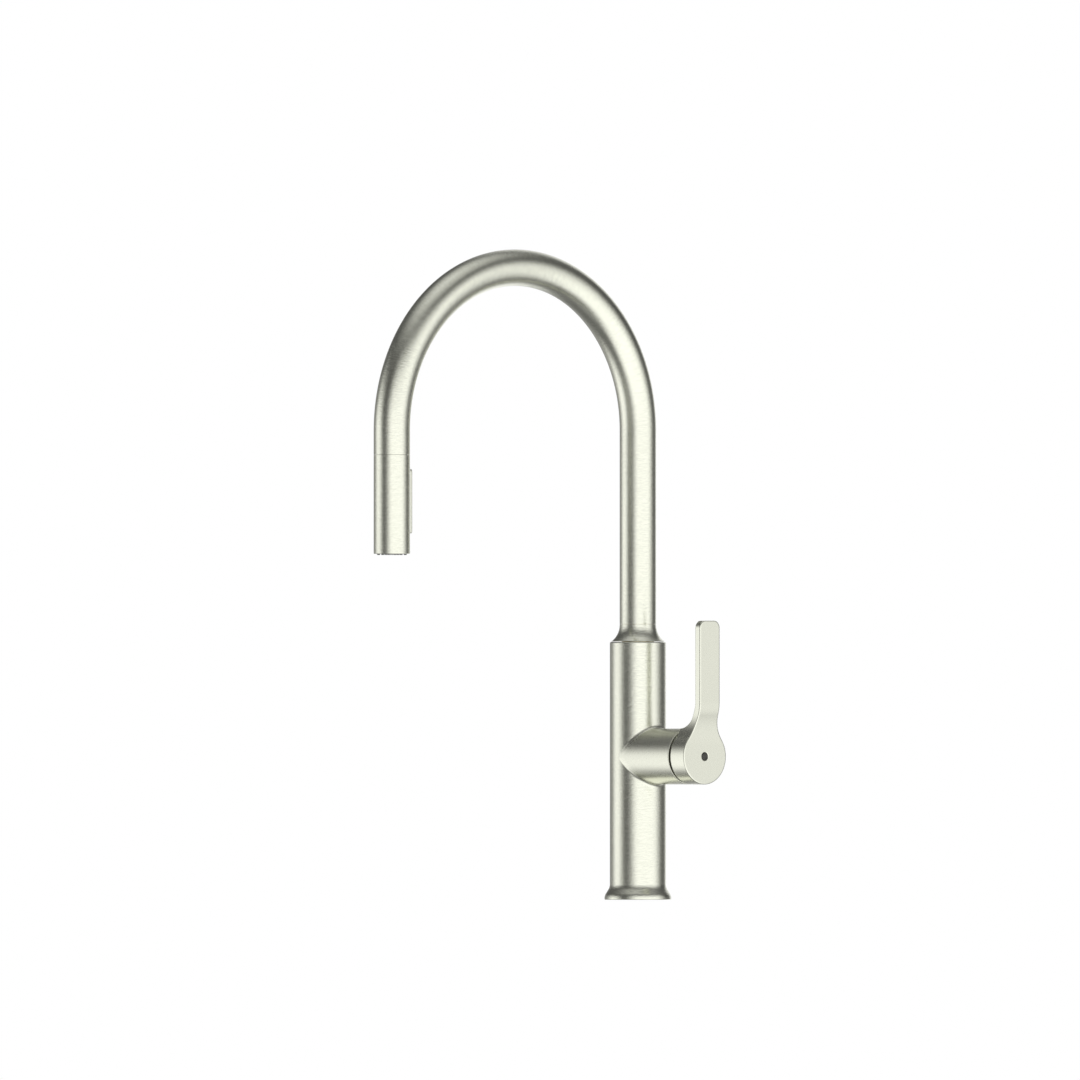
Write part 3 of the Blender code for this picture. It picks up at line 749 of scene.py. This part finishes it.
def body_shell(materials):
    """The column with its flared foot, and the housing that grows out of it over a small fillet."""
    shell = Shell()
    turns = frame_turns()
    centres = housing_curve(COLUMN_R + SADDLE_R, HOUSING_R + SADDLE_R, turns)
    opening = [(atan2(y, x), z) for x, y, z in centres]
    rim, top, low = holed_wall(shell, COLUMN_R, opening)
    outside = housing_rows(shell, fillet_rows(shell, rim, centres), turns)
    inner = housing_curve(COLUMN_BORE_R, HOUSING_BORE_R, turns)
    opening = [(atan2(y, x), z) for x, y, z in inner]
    inner_rim, inner_top, inner_low = holed_wall(shell, COLUMN_BORE_R, opening)
    shell.bands(outside + [inner_rim])
    lower_wall(shell, low, inner_low)
    upper_wall(shell, top, inner_top)
    piece = shell.piece("brushed_body", materials["satin_nickel"])
    mark_housing(piece.data)
    true_wall(piece, COLUMN_R)
    place(piece, "faucet_body", "satin_nickel", "body_shell")


def collar(materials):
    """The concave collar between the column and the tube."""
    bore_r, foot_r, hollow_r, rim_r, ease = 12.0, 18.6, 15.0, 0.25, 0.1
    foot, hollow_top, top = 184.05, 196.0, 196.4
    outline = [(bore_r, foot), (18.55, foot)]
    outline += arc((foot_r, foot + rim_r), rim_r, -90.0, 45.0, 5)
    outline += arc((TUBE_R + hollow_r, hollow_top), hollow_r, 230.0, 180.0, 28)
    outline += [(TUBE_R, top - ease), (TUBE_R - ease, top), (bore_r, top)]
    piece = lathe("brushed_collar", outline, materials["satin_nickel"])
    place(piece, "faucet_body", "satin_nickel", "flared_collar")


# ---- spray head


def slot_point(turn, clearance):
    """The button's outline with some clearance, walked once round from the top's middle."""
    radius = BUTTON_CORNER_R + clearance
    side = BUTTON_HALF_WIDTH - BUTTON_CORNER_R
    end = BUTTON_LENGTH / 2 - BUTTON_CORNER_R
    bend = pi * radius / 2
    walk = (turn / (2 * pi)) % 1.0 * (4 * (side + end) + 4 * bend)
    x, z, heading = 0.0, end + radius, 0.0
    for straight in (side, 2 * end, 2 * side, 2 * end, side):
        step = min(walk, straight)
        x, z = x + step * cos(heading), z + step * sin(heading)
        walk -= step
        if walk <= 0.0:
            break
        angle = min(walk / radius, pi / 2)
        x += radius * (sin(angle) * cos(heading) + (1 - cos(angle)) * sin(heading))
        z += radius * (sin(angle) * sin(heading) - (1 - cos(angle)) * cos(heading))
        heading -= angle
        walk -= bend
        if walk <= 0.0:
            break
    return x, z


def slot_opening(radius, clearance):
    """The button's slot on a wall of the head, as (angle, height) from the wall's own middle."""
    row = [slot_point(turn, clearance) for turn in frame_turns()]
    return [(np.arcsin(across / radius), up) for across, up in row]


def turned_to_back(shell):
    """Swings the points so that a slot at +X faces +Y, and moves them onto the head's axis."""
    for i in range(len(shell.points)):
        x, y, z = shell.points[i]
        shell.points[i] = (-y, x - REACH, z)
        shell.brush[i] = (-y, x, z)


def slot_wall(shell, radius, clearance):
    """One wall of the head's sleeve round the button's slot."""
    opening = slot_opening(radius, clearance)
    return holed_wall(shell, radius, opening, BUTTON_Z, HEAD_SADDLE_HALF)


def head_shell(materials):
    """The head's sleeve, with the button's slot facing the column."""
    clearance, slot_ease, ease, low_edge_r, top_edge_r = 0.5, 0.2, 0.2, 0.5, 0.12
    shell = Shell()
    outer_rim, outer_top, outer_low = slot_wall(shell, TUBE_R, clearance + slot_ease)
    rows = [outer_rim]
    for radius in (TUBE_R - slot_ease, HEAD_BORE_R + 0.1):
        opening = slot_opening(radius, clearance)
        rows.append(shell.loop([(radius * cos(a), radius * sin(a), BUTTON_Z + h) for a, h in opening]))
    inner_rim, inner_top, inner_low = slot_wall(shell, HEAD_BORE_R, clearance)
    shell.bands(rows + [inner_rim])
    lower = [(TUBE_R, HEAD_BOTTOM + 1.2)]
    lower += arc((TUBE_R - low_edge_r, HEAD_BOTTOM + low_edge_r), low_edge_r, 0.0, -90.0, 5)
    lower += [(HEAD_BORE_R + ease, HEAD_BOTTOM), (HEAD_BORE_R, HEAD_BOTTOM + ease)]
    shell.bands([outer_low] + column_rings(shell, lower) + [inner_low])
    upper = [(TUBE_R, HEAD_TOP - 0.8)]
    upper += arc((TUBE_R - top_edge_r, HEAD_TOP - top_edge_r), top_edge_r, 0.0, 90.0, 3)
    upper += [(HEAD_BORE_R, HEAD_TOP)]
    shell.bands([outer_top] + column_rings(shell, upper) + [inner_top])
    turned_to_back(shell)
    piece = shell.piece("brushed_head", materials["satin_nickel"])
    true_wall(piece, TUBE_R, -REACH)
    place(piece, "spray_head", "satin_nickel", "head_shell")


def button_lug(shell, root, turns):
    """The square-cornered lug behind the button, which holds its pin."""
    half_width, half_height, end_y = 5.2, 3.0, 6.5
    rows = []
    for y in (BUTTON_BACK_Y, end_y):
        points = []
        for turn in turns:
            reach = 1.0 / max(abs(sin(turn)), abs(cos(turn)))
            points.append((half_width * sin(turn) * reach, y - REACH,
                           BUTTON_Z + half_height * cos(turn) * reach))
        rows.append(shell.loop(points))
    shell.bands([root] + rows)
    shell.fan(rows[-1], (0.0, end_y - REACH, BUTTON_Z))


def rocker_button(materials):
    """The long rocker: a flat face with eased edges and small corners, and the lug for its pin."""
    around, edge_steps, edge_r, back_ease = 160, 5, 0.45, 0.2
    shell = Shell()
    turns = [2 * pi * i / around for i in range(around)]

    def row(clearance, y, shrink=1.0):
        spots = [slot_point(turn, clearance) for turn in turns]
        points = [(x * shrink, y - REACH, BUTTON_Z + z * shrink) for x, z in spots]
        return shell.loop(points, [(z, x, y) for x, y, z in points])

    rows = [row(-back_ease, BUTTON_BACK_Y), row(0.0, BUTTON_BACK_Y + back_ease),
            row(0.0, BUTTON_FACE_Y - 1.2)]
    for step in range(edge_steps + 1):
        a = pi / 2 * step / edge_steps
        rows.append(row(-edge_r * (1.0 - cos(a)), BUTTON_FACE_Y - edge_r * (1.0 - sin(a))))
    for shrink in (1.0, 0.8, 0.5, 0.2):
        rows.append(row(-edge_r - 0.4, BUTTON_FACE_Y, shrink))
    shell.bands(rows)
    shell.fan(rows[-1], (0.0, BUTTON_FACE_Y - REACH, BUTTON_Z))
    button_lug(shell, rows[0], turns)
    piece = shell.piece("rocker_cap", materials["button_nickel"])
    place(piece, "spray_button", "button_nickel", "rocker_button")


FACE_Z = HEAD_BOTTOM + 0.4
NOZZLE_CIRCLES = ((7.3, 10), (10.1, 14))
NOZZLE_SIDES = 16


def nozzle_tips(material):
    """Two circles of tapered nozzles, each with a short bore in its tip."""
    bore_z, top_z = 246.3, 247.6
    section = [(0.2, bore_z), (0.24, 245.72), (0.36, 245.7), (0.45, 245.8), (0.6, 247.2), (0.6, top_z)]
    shell = Shell()
    for radius, count in NOZZLE_CIRCLES:
        for i in range(count):
            a = 2 * pi * i / count
            x, y = radius * cos(a), radius * sin(a) - REACH
            rows = []
            for r, z in section:
                turns = [2 * pi * k / NOZZLE_SIDES for k in range(NOZZLE_SIDES)]
                rows.append(shell.loop([turn_point(r, turn, z, at=(x, y, 0.0)) for turn in turns]))
            shell.bands(rows)
            shell.fan(rows[0], (x, y, bore_z))
            shell.fan(rows[-1], (x, y, top_z))
    return shell.piece("nozzle_tips", material)


def nozzle_face(materials):
    """The soft face of the head: a ring joined with its nozzles."""
    hole_r, rim_r, ease, top_z = 5.6, 11.1, 0.2, 248.3
    outline = [(hole_r, FACE_Z + ease), (hole_r + ease, FACE_Z), (rim_r - ease, FACE_Z),
               (rim_r, FACE_Z + ease), (rim_r, top_z), (hole_r, top_z)]
    mat = lathe("nozzle_face", outline, materials["nozzle_silicone"], at=(0.0, -REACH, 0.0), sides=96)
    tips = nozzle_tips(materials["nozzle_silicone"])
    joined = mat.modifiers.new("tips", "BOOLEAN")
    joined.operation = "UNION"
    joined.solver = "EXACT"
    joined.object = tips
    bpy.context.view_layer.update()
    mesh = bpy.data.meshes.new_from_object(mat.evaluated_get(bpy.context.evaluated_depsgraph_get()))
    mesh.set_sharp_from_angle(angle=radians(SHARP_ANGLE))
    mat.modifiers.clear()
    mat.data = mesh
    bpy.data.objects.remove(tips)
    place(mat, "spray_head", "nozzle_silicone", "nozzle_mat")


# ---- lever


def blade_side():
    """The lever from the side, in X and Z: it sweeps out from the cap, then stands upright."""
    sweep_r, bend_r, back_r, crook_r = 62.0, 28.0, 12.0, 17.0
    sweep_z, upright, turn, crook_turn = 110.0, 140.98, 20.13, 22.0
    root_x, root_z, inside_x = 58.7, HANDLE_Z + 4.0, CAP_FACE - 1.0
    front = arc((CAP_FACE + sweep_r, sweep_z), sweep_r, 180.0, 180.0 - turn, 24)
    front += arc((BLADE_FACE - bend_r, upright), bend_r, -turn, 0.0, 24)
    back_x = BLADE_FACE - BLADE_THICK
    back = arc((back_x - crook_r, upright), crook_r, 0.0, -crook_turn, 24)
    back += arc((root_x, HANDLE_Z + CAP_R + back_r), back_r, -crook_turn, -90.0, 32)
    inside = [(root_x, root_z), (inside_x, root_z), (inside_x, sweep_z)]
    return front + [(BLADE_FACE, BLADE_TOP), (back_x, BLADE_TOP)] + back + inside


def blade_front():
    """The lever from the front, in Y and Z: round cap, hollow shoulders, straight sides."""
    shoulder_r, shoulder_z, corner_r = 30.3, 133.0, 5.5
    shoulder_turn, cap_turn, within = 37.9, 37.0, 0.02
    side = BLADE_HALF_WIDTH
    right = arc((0.0, HANDLE_Z), CAP_R - within, 0.0, cap_turn, 24)
    right += arc((side + shoulder_r, shoulder_z), shoulder_r, 180.0 + shoulder_turn, 180.0, 24)
    right += arc((side - corner_r, BLADE_TOP - corner_r), corner_r, 0.0, 90.0, 16)
    return right + [(-y, z) for y, z in right[::-1]]


def outline_distance(u, v, outline):
    """Signed distance to a closed flat outline, less than 0 inside."""
    corners = np.array(outline)
    best = np.full(u.shape, 1e9)
    inside = np.zeros(u.shape, bool)
    for (ax, ay), (bx, by) in zip(corners, np.roll(corners, -1, axis=0)):
        ex, ey = bx - ax, by - ay
        square = ex * ex + ey * ey
        if square < 1e-12:
            continue
        wx, wy = u - ax, v - ay
        t = np.clip((wx * ex + wy * ey) / square, 0.0, 1.0)
        best = np.minimum(best, (wx - t * ex) ** 2 + (wy - t * ey) ** 2)
        crosses = (ay > v) != (by > v)
        if ey:
            inside ^= crosses & (u < ax + (v - ay) * ex / ey)
    return np.where(inside, -1.0, 1.0) * np.sqrt(best)


def round_max(a, b, radius):
    """The larger of two distances, with the edge between them rounded."""
    inner = np.minimum(np.maximum(a, b), -radius)
    return inner + np.hypot(np.maximum(a + radius, 0.0), np.maximum(b + radius, 0.0))


def round_min(a, b, radius):
    """The smaller of two distances, with a fillet of that radius between them."""
    return -round_max(-a, -b, radius)


def bar(radius, low, high, across, along, rounding=0.0):
    """Signed distance to a round bar, from its distance across and its place along its axis."""
    return round_max(across - radius, np.maximum(low - along, along - high), rounding)


# Inside the cap: its hollow, the hub that holds the stem, the hub's socket and the screw's hole.
HOLLOW_R, HOLLOW_FLOOR = 18.5, 66.0
HUB_R, HUB_REAR, HUB_ROOT = 6.5, 52.0, 68.0
SOCKET_R, SOCKET_FLOOR = 3.9, 64.5
SCREW_X, SCREW_R, SCREW_DEPTH = 61.0, 2.5, 3.0
INLAY_HOLE_R, INLAY_DEPTH = 2.9, 1.1
CAP_EDGE_R, BLADE_EDGE_R, HUB_FILLET_R = 0.7, 0.8, 0.4


def lever_distance(x, y, z, blade):
    """Signed distance to the whole lever: cap, blade, hollow, hub and its two small holes."""
    across = np.hypot(y, z - HANDLE_Z)
    cap = bar(CAP_R, CAP_REAR, CAP_FACE, across, x, CAP_EDGE_R)
    solid = np.minimum(cap, blade)
    hollow = bar(HOLLOW_R, CAP_REAR - 5.0, HOLLOW_FLOOR, across, x, 0.3)
    hub = bar(HUB_R, HUB_REAR, HUB_ROOT, across, x, 0.25)
    socket = bar(SOCKET_R, HUB_REAR - 7.0, SOCKET_FLOOR, across, x, 0.2)
    screw_hole = np.maximum(np.hypot(x - SCREW_X, y) - SCREW_R, z - (HANDLE_Z - SCREW_DEPTH))
    inlay_hole = bar(INLAY_HOLE_R, CAP_FACE - INLAY_DEPTH, CAP_FACE + 5.0, across, x)
    solid = round_max(solid, -hollow, 0.3)
    solid = round_min(solid, hub, HUB_FILLET_R)
    solid = round_max(solid, -socket, 0.2)
    solid = round_max(solid, -screw_hole, 0.2)
    return round_max(solid, -inlay_hole, 0.15)


def blade_distance(side, front):
    """Signed distance to the blade, from its distances in the side and the front view."""
    return round_max(side, front, BLADE_EDGE_R)


CELL_CORNERS = [np.array((i, j, k)) for i in (0, 1) for j in (0, 1) for k in (0, 1)]


def mixed_cells(inside):
    """The grid cells that the surface passes through: some corners inside, some out."""
    n = np.array(inside.shape)
    count = 0
    for c in CELL_CORNERS:
        block = inside[c[0]:n[0] - 1 + c[0], c[1]:n[1] - 1 + c[1], c[2]:n[2] - 1 + c[2]]
        count = count + block.astype(np.int8)
    return np.argwhere((count > 0) & (count < 8))


def net_points(field, cells):
    """One point in each mixed cell: the mean of where its edges cross the surface."""
    total = np.zeros((len(cells), 3))
    hits = np.zeros(len(cells))
    for axis in range(3):
        for c in CELL_CORNERS:
            if c[axis]:
                continue
            ahead = c.copy()
            ahead[axis] = 1
            a = field[tuple((cells + c).T)]
            b = field[tuple((cells + ahead).T)]
            crossed = (a < 0) != (b < 0)
            t = np.where(crossed, a / np.where(crossed, a - b, 1.0), 0.0)
            spot = np.tile(c.astype(float), (len(cells), 1))
            spot[:, axis] += t
            total[crossed] += spot[crossed]
            hits[crossed] += 1
    return cells + total / hits[:, None]


def net_quads(inside, cells):
    """One quad across each grid edge that crosses the surface, between the four cells round it."""
    index = np.full(tuple(np.array(inside.shape) - 1), -1, int)
    index[tuple(cells.T)] = np.arange(len(cells))
    quads = []
    for axis in range(3):
        u, v = (axis + 1) % 3, (axis + 2) % 3
        behind, ahead = [slice(None)] * 3, [slice(None)] * 3
        behind[axis] = slice(0, -1)
        ahead[axis] = slice(1, None)
        crossed = np.argwhere(inside[tuple(behind)] != inside[tuple(ahead)])
        crossed = crossed[(crossed[:, u] > 0) & (crossed[:, v] > 0)]
        du, dv = np.zeros(3, int), np.zeros(3, int)
        du[u], dv[v] = 1, 1
        quad = np.column_stack([index[tuple((crossed - s).T)] for s in (du + dv, dv, 0 * du, du)])
        flip = ~inside[tuple(crossed.T)]
        quad[flip] = quad[flip][:, ::-1]
        quads.append(quad)
    return np.concatenate(quads)


LEVER_STEP = 0.4
LEVER_LOW = np.array((50.6, -21.0, 81.0))
LEVER_HIGH = np.array((79.6, 21.0, 200.2))


def settled(points, distance):
    """Moves points that are near a surface onto it, a little way at a time."""
    tiny, furthest, least_slope = 0.01, 0.15, 0.25
    for _ in range(3):
        slope = np.column_stack([(distance(points + tiny * e) - distance(points - tiny * e)) / (2 * tiny)
                                 for e in np.eye(3)])
        steep = np.maximum((slope ** 2).sum(1), least_slope)
        points = points - np.clip(distance(points) / steep, -furthest, furthest)[:, None] * slope
    return points


def lever_handle(materials):
    """The lever with its round cap, from one smooth signed distance, so every edge is eased."""
    side_outline, front_outline = blade_side(), blade_front()

    def distance(p):
        x, y, z = p.T
        side, front = outline_distance(x, z, side_outline), outline_distance(y, z, front_outline)
        return lever_distance(x, y, z, blade_distance(side, front))

    size = ((LEVER_HIGH - LEVER_LOW) / LEVER_STEP).astype(int) + 1
    x, y, z = (LEVER_LOW[i] + LEVER_STEP * np.arange(size[i]) for i in range(3))
    side = outline_distance(*np.meshgrid(x, z, indexing="ij"), side_outline)
    front = outline_distance(*np.meshgrid(y, z, indexing="ij"), front_outline)
    blade = blade_distance(side[:, None, :], front[None, :, :])
    field = lever_distance(*np.meshgrid(x, y, z, indexing="ij"), blade)
    cells = mixed_cells(field < 0.0)
    points = settled(LEVER_LOW + net_points(field, cells) * LEVER_STEP, distance)
    mesh = bpy.data.meshes.new("sandy_lever")
    mesh.from_pydata(points * MM, [], net_quads(field < 0.0, cells).tolist())
    brush = mesh.attributes.new("brush", "FLOAT_VECTOR", "POINT")
    brush.data.foreach_set("vector", points.ravel())
    mesh.validate()
    all_smooth = 180.0
    piece = shown("sandy_lever", mesh, materials["sandy_nickel"], all_smooth)
    place(piece, "handle", "satin_nickel", "lever_handle")


def cap_mark(materials):
    """A plain round inlay in the middle of the cap."""
    radius, depth, edge_r, rim_r = 2.6, 0.8, 0.25, 1.9
    outline = [(0.0, CAP_FACE - depth), (radius, CAP_FACE - depth), (radius, CAP_FACE - edge_r)]
    outline += arc((radius - edge_r, CAP_FACE - edge_r), edge_r, 0.0, 90.0, 4)
    outline += [(rim_r, CAP_FACE), (1.7, CAP_FACE - 0.15), (0.6, CAP_FACE - 0.12), (0.0, CAP_FACE - 0.1)]
    piece = lathe("round_inlay", outline, materials["dark_nickel"], "X", (0.0, 0.0, HANDLE_Z), 64)
    place(piece, "handle", "dark_nickel", "cap_inlay")


# ---- finishes of the CAD nodes


def finish_nodes(materials):
    """Every CAD node that stays gets the detailed material of its own finish."""
    for part in frame["record"]["subparts"]:
        mesh = frame["nodes"][part["node"]].data
        mesh.materials.clear()
        mesh.materials.append(materials[part["material_slot"]])


# ---- studio

# The camera looks level at the object from this many degrees right of its front. The frame's
# width, and where it aims, are in metres.
VIEW_TURN = 49.1
VIEW_SPAN = 0.7698
AIM_SIDE = -0.0698
AIM_HEIGHT = 0.2564
CAMERA_AWAY = 6.0


def set_camera():
    """A parallel view from the front right."""
    a = radians(VIEW_TURN)
    back = Vector((sin(a), -cos(a), 0.0))
    right = Vector((cos(a), sin(a), 0.0))
    data = bpy.data.cameras.new("camera")
    data.type = "ORTHO"
    data.ortho_scale = VIEW_SPAN
    camera = bpy.data.objects.new("camera", data)
    camera.location = right * AIM_SIDE + Vector((0.0, 0.0, AIM_HEIGHT)) + back * CAMERA_AWAY
    camera.rotation_euler = (-back).to_track_quat("-Z", "Y").to_euler()
    bpy.context.scene.collection.objects.link(camera)
    bpy.context.scene.camera = camera


# Each soft panel: brightness, then the angles where it starts, is full, stays full until and ends,
# round the object from the front, and the same four for its height above the horizon.
PANELS = (
    (1.36, (-44.0, -1.0, 66.0, 115.0), (-80.0, -44.0, 6.0, 50.0)),
    (1.24, (-135.0, -104.0, -88.0, -56.0), (-56.0, -24.0, 2.0, 32.0)),
    (1.08, (136.0, 162.0, 172.0, 192.0), (-58.0, -28.0, 14.0, 50.0)),
    (0.20, (-178.0, -165.0, -135.0, -120.0), (-45.0, -20.0, 0.0, 24.0)),
)
# The studio's own light by height above the horizon, from straight down to straight up.
AMBIENT = ((-90, 0.42), (-70, 0.20), (-45, 0.24), (-20, 0.30), (0, 0.17), (12, 0.09), (35, 0.10),
           (50, 0.23), (65, 0.60), (90, 1.0))
# What the studio shows to the eye below the horizon, where the floor runs out, and the heights
# between which it goes over to white.
FLOOR_GLOW = 0.855
FLOOR_FADE = (-4.0, -1.0)
TO_DEGREES = 180.0 / pi


def window(nodes, value, stops):
    """1 between the two middle stops, going down to 0 at the outer ones."""
    rise = nodes.remap(value, stops[0], stops[1], smooth=True)
    fall = nodes.remap(value, stops[2], stops[3], 1.0, 0.0, True)
    return nodes.math("MULTIPLY", rise, fall)


def panel_light(nodes, x, y, height):
    """The brightness of the studio in a direction, with the height above the horizon given."""
    a = radians(VIEW_TURN)
    ahead = nodes.math("ADD", nodes.math("MULTIPLY", x, sin(a)), nodes.math("MULTIPLY", y, -cos(a)))
    aside = nodes.math("ADD", nodes.math("MULTIPLY", x, cos(a)), nodes.math("MULTIPLY", y, sin(a)))
    turn = nodes.math("MULTIPLY", nodes.math("ARCTAN2", aside, ahead), TO_DEGREES)
    once_round = nodes.math("MULTIPLY", nodes.math("LESS_THAN", turn, 0.0), 360.0)
    wrapped = nodes.math("ADD", turn, once_round)
    light = nodes.ramp(nodes.remap(height, -90.0, 90.0),
                       [((up + 90.0) / 180.0, grey(glow)) for up, glow in AMBIENT])
    for bright, around, tall in PANELS:
        across = wrapped if around[3] > 180.0 else turn
        share = nodes.math("MULTIPLY", window(nodes, across, around), window(nodes, height, tall))
        light = nodes.math("MULTIPLY_ADD", share, bright, light)
    return light


def studio():
    """A white studio whose soft panels only show in the metal."""
    world = bpy.data.worlds.new("studio")
    bpy.context.scene.world = world
    world.use_nodes = True
    nodes = Nodes(world.node_tree)
    x, y, z = nodes.split(nodes.add("ShaderNodeTexCoord").outputs["Generated"])
    height = nodes.math("MULTIPLY", nodes.math("ARCSINE", z), TO_DEGREES)
    panels = nodes.add("ShaderNodeBackground")
    nodes.link(panel_light(nodes, x, y, height), panels.inputs["Strength"])
    plain = nodes.add("ShaderNodeBackground")
    nodes.link(nodes.remap(height, *FLOOR_FADE, FLOOR_GLOW, 1.0), plain.inputs["Strength"])
    plain.inputs["Color"].default_value = (1.0, 1.0, 1.0, 1.0)
    path = nodes.add("ShaderNodeLightPath")
    mix = nodes.add("ShaderNodeMixShader")
    nodes.link(path.outputs["Is Glossy Ray"], mix.inputs[0])
    nodes.link(plain.outputs[0], mix.inputs[1])
    nodes.link(panels.outputs[0], mix.inputs[2])
    nodes.link(mix.outputs[0], nodes.add("ShaderNodeOutputWorld").inputs[0])


def floor():
    """A plain pale plane at deck height, which doesn't show in the metal."""
    half = 14.0
    material, nodes, shader = principled("pale_floor")
    at = nodes.add("ShaderNodeTexCoord").outputs["Object"]
    cloud = nodes.noise(at, 6.0, 2.0, 0.5)
    nodes.link(tinted(nodes, cloud, grey(0.86), grey(0.88)), shader.inputs["Base Color"])
    shader.inputs["Roughness"].default_value = 0.9
    shader.inputs["Specular IOR Level"].default_value = 0.1
    mesh = bpy.data.meshes.new("floor")
    corners = [(-half, -half, 0.0), (half, -half, 0.0), (half, half, 0.0), (-half, half, 0.0)]
    mesh.from_pydata(corners, [], [(0, 1, 2, 3)])
    plane = shown("floor", mesh, material)
    plane.visible_glossy = False


def build():
    """The studio and every visible piece."""
    set_camera()
    studio()
    floor()
    materials = make_materials()
    finish_nodes(materials)
    body_shell(materials)
    collar(materials)
    spout_tube(materials)
    hose(materials)
    head_shell(materials)
    rocker_button(materials)
    nozzle_face(materials)
    lever_handle(materials)
    cap_mark(materials)
    bpy.context.scene.view_settings.view_transform = "Standard"


build()
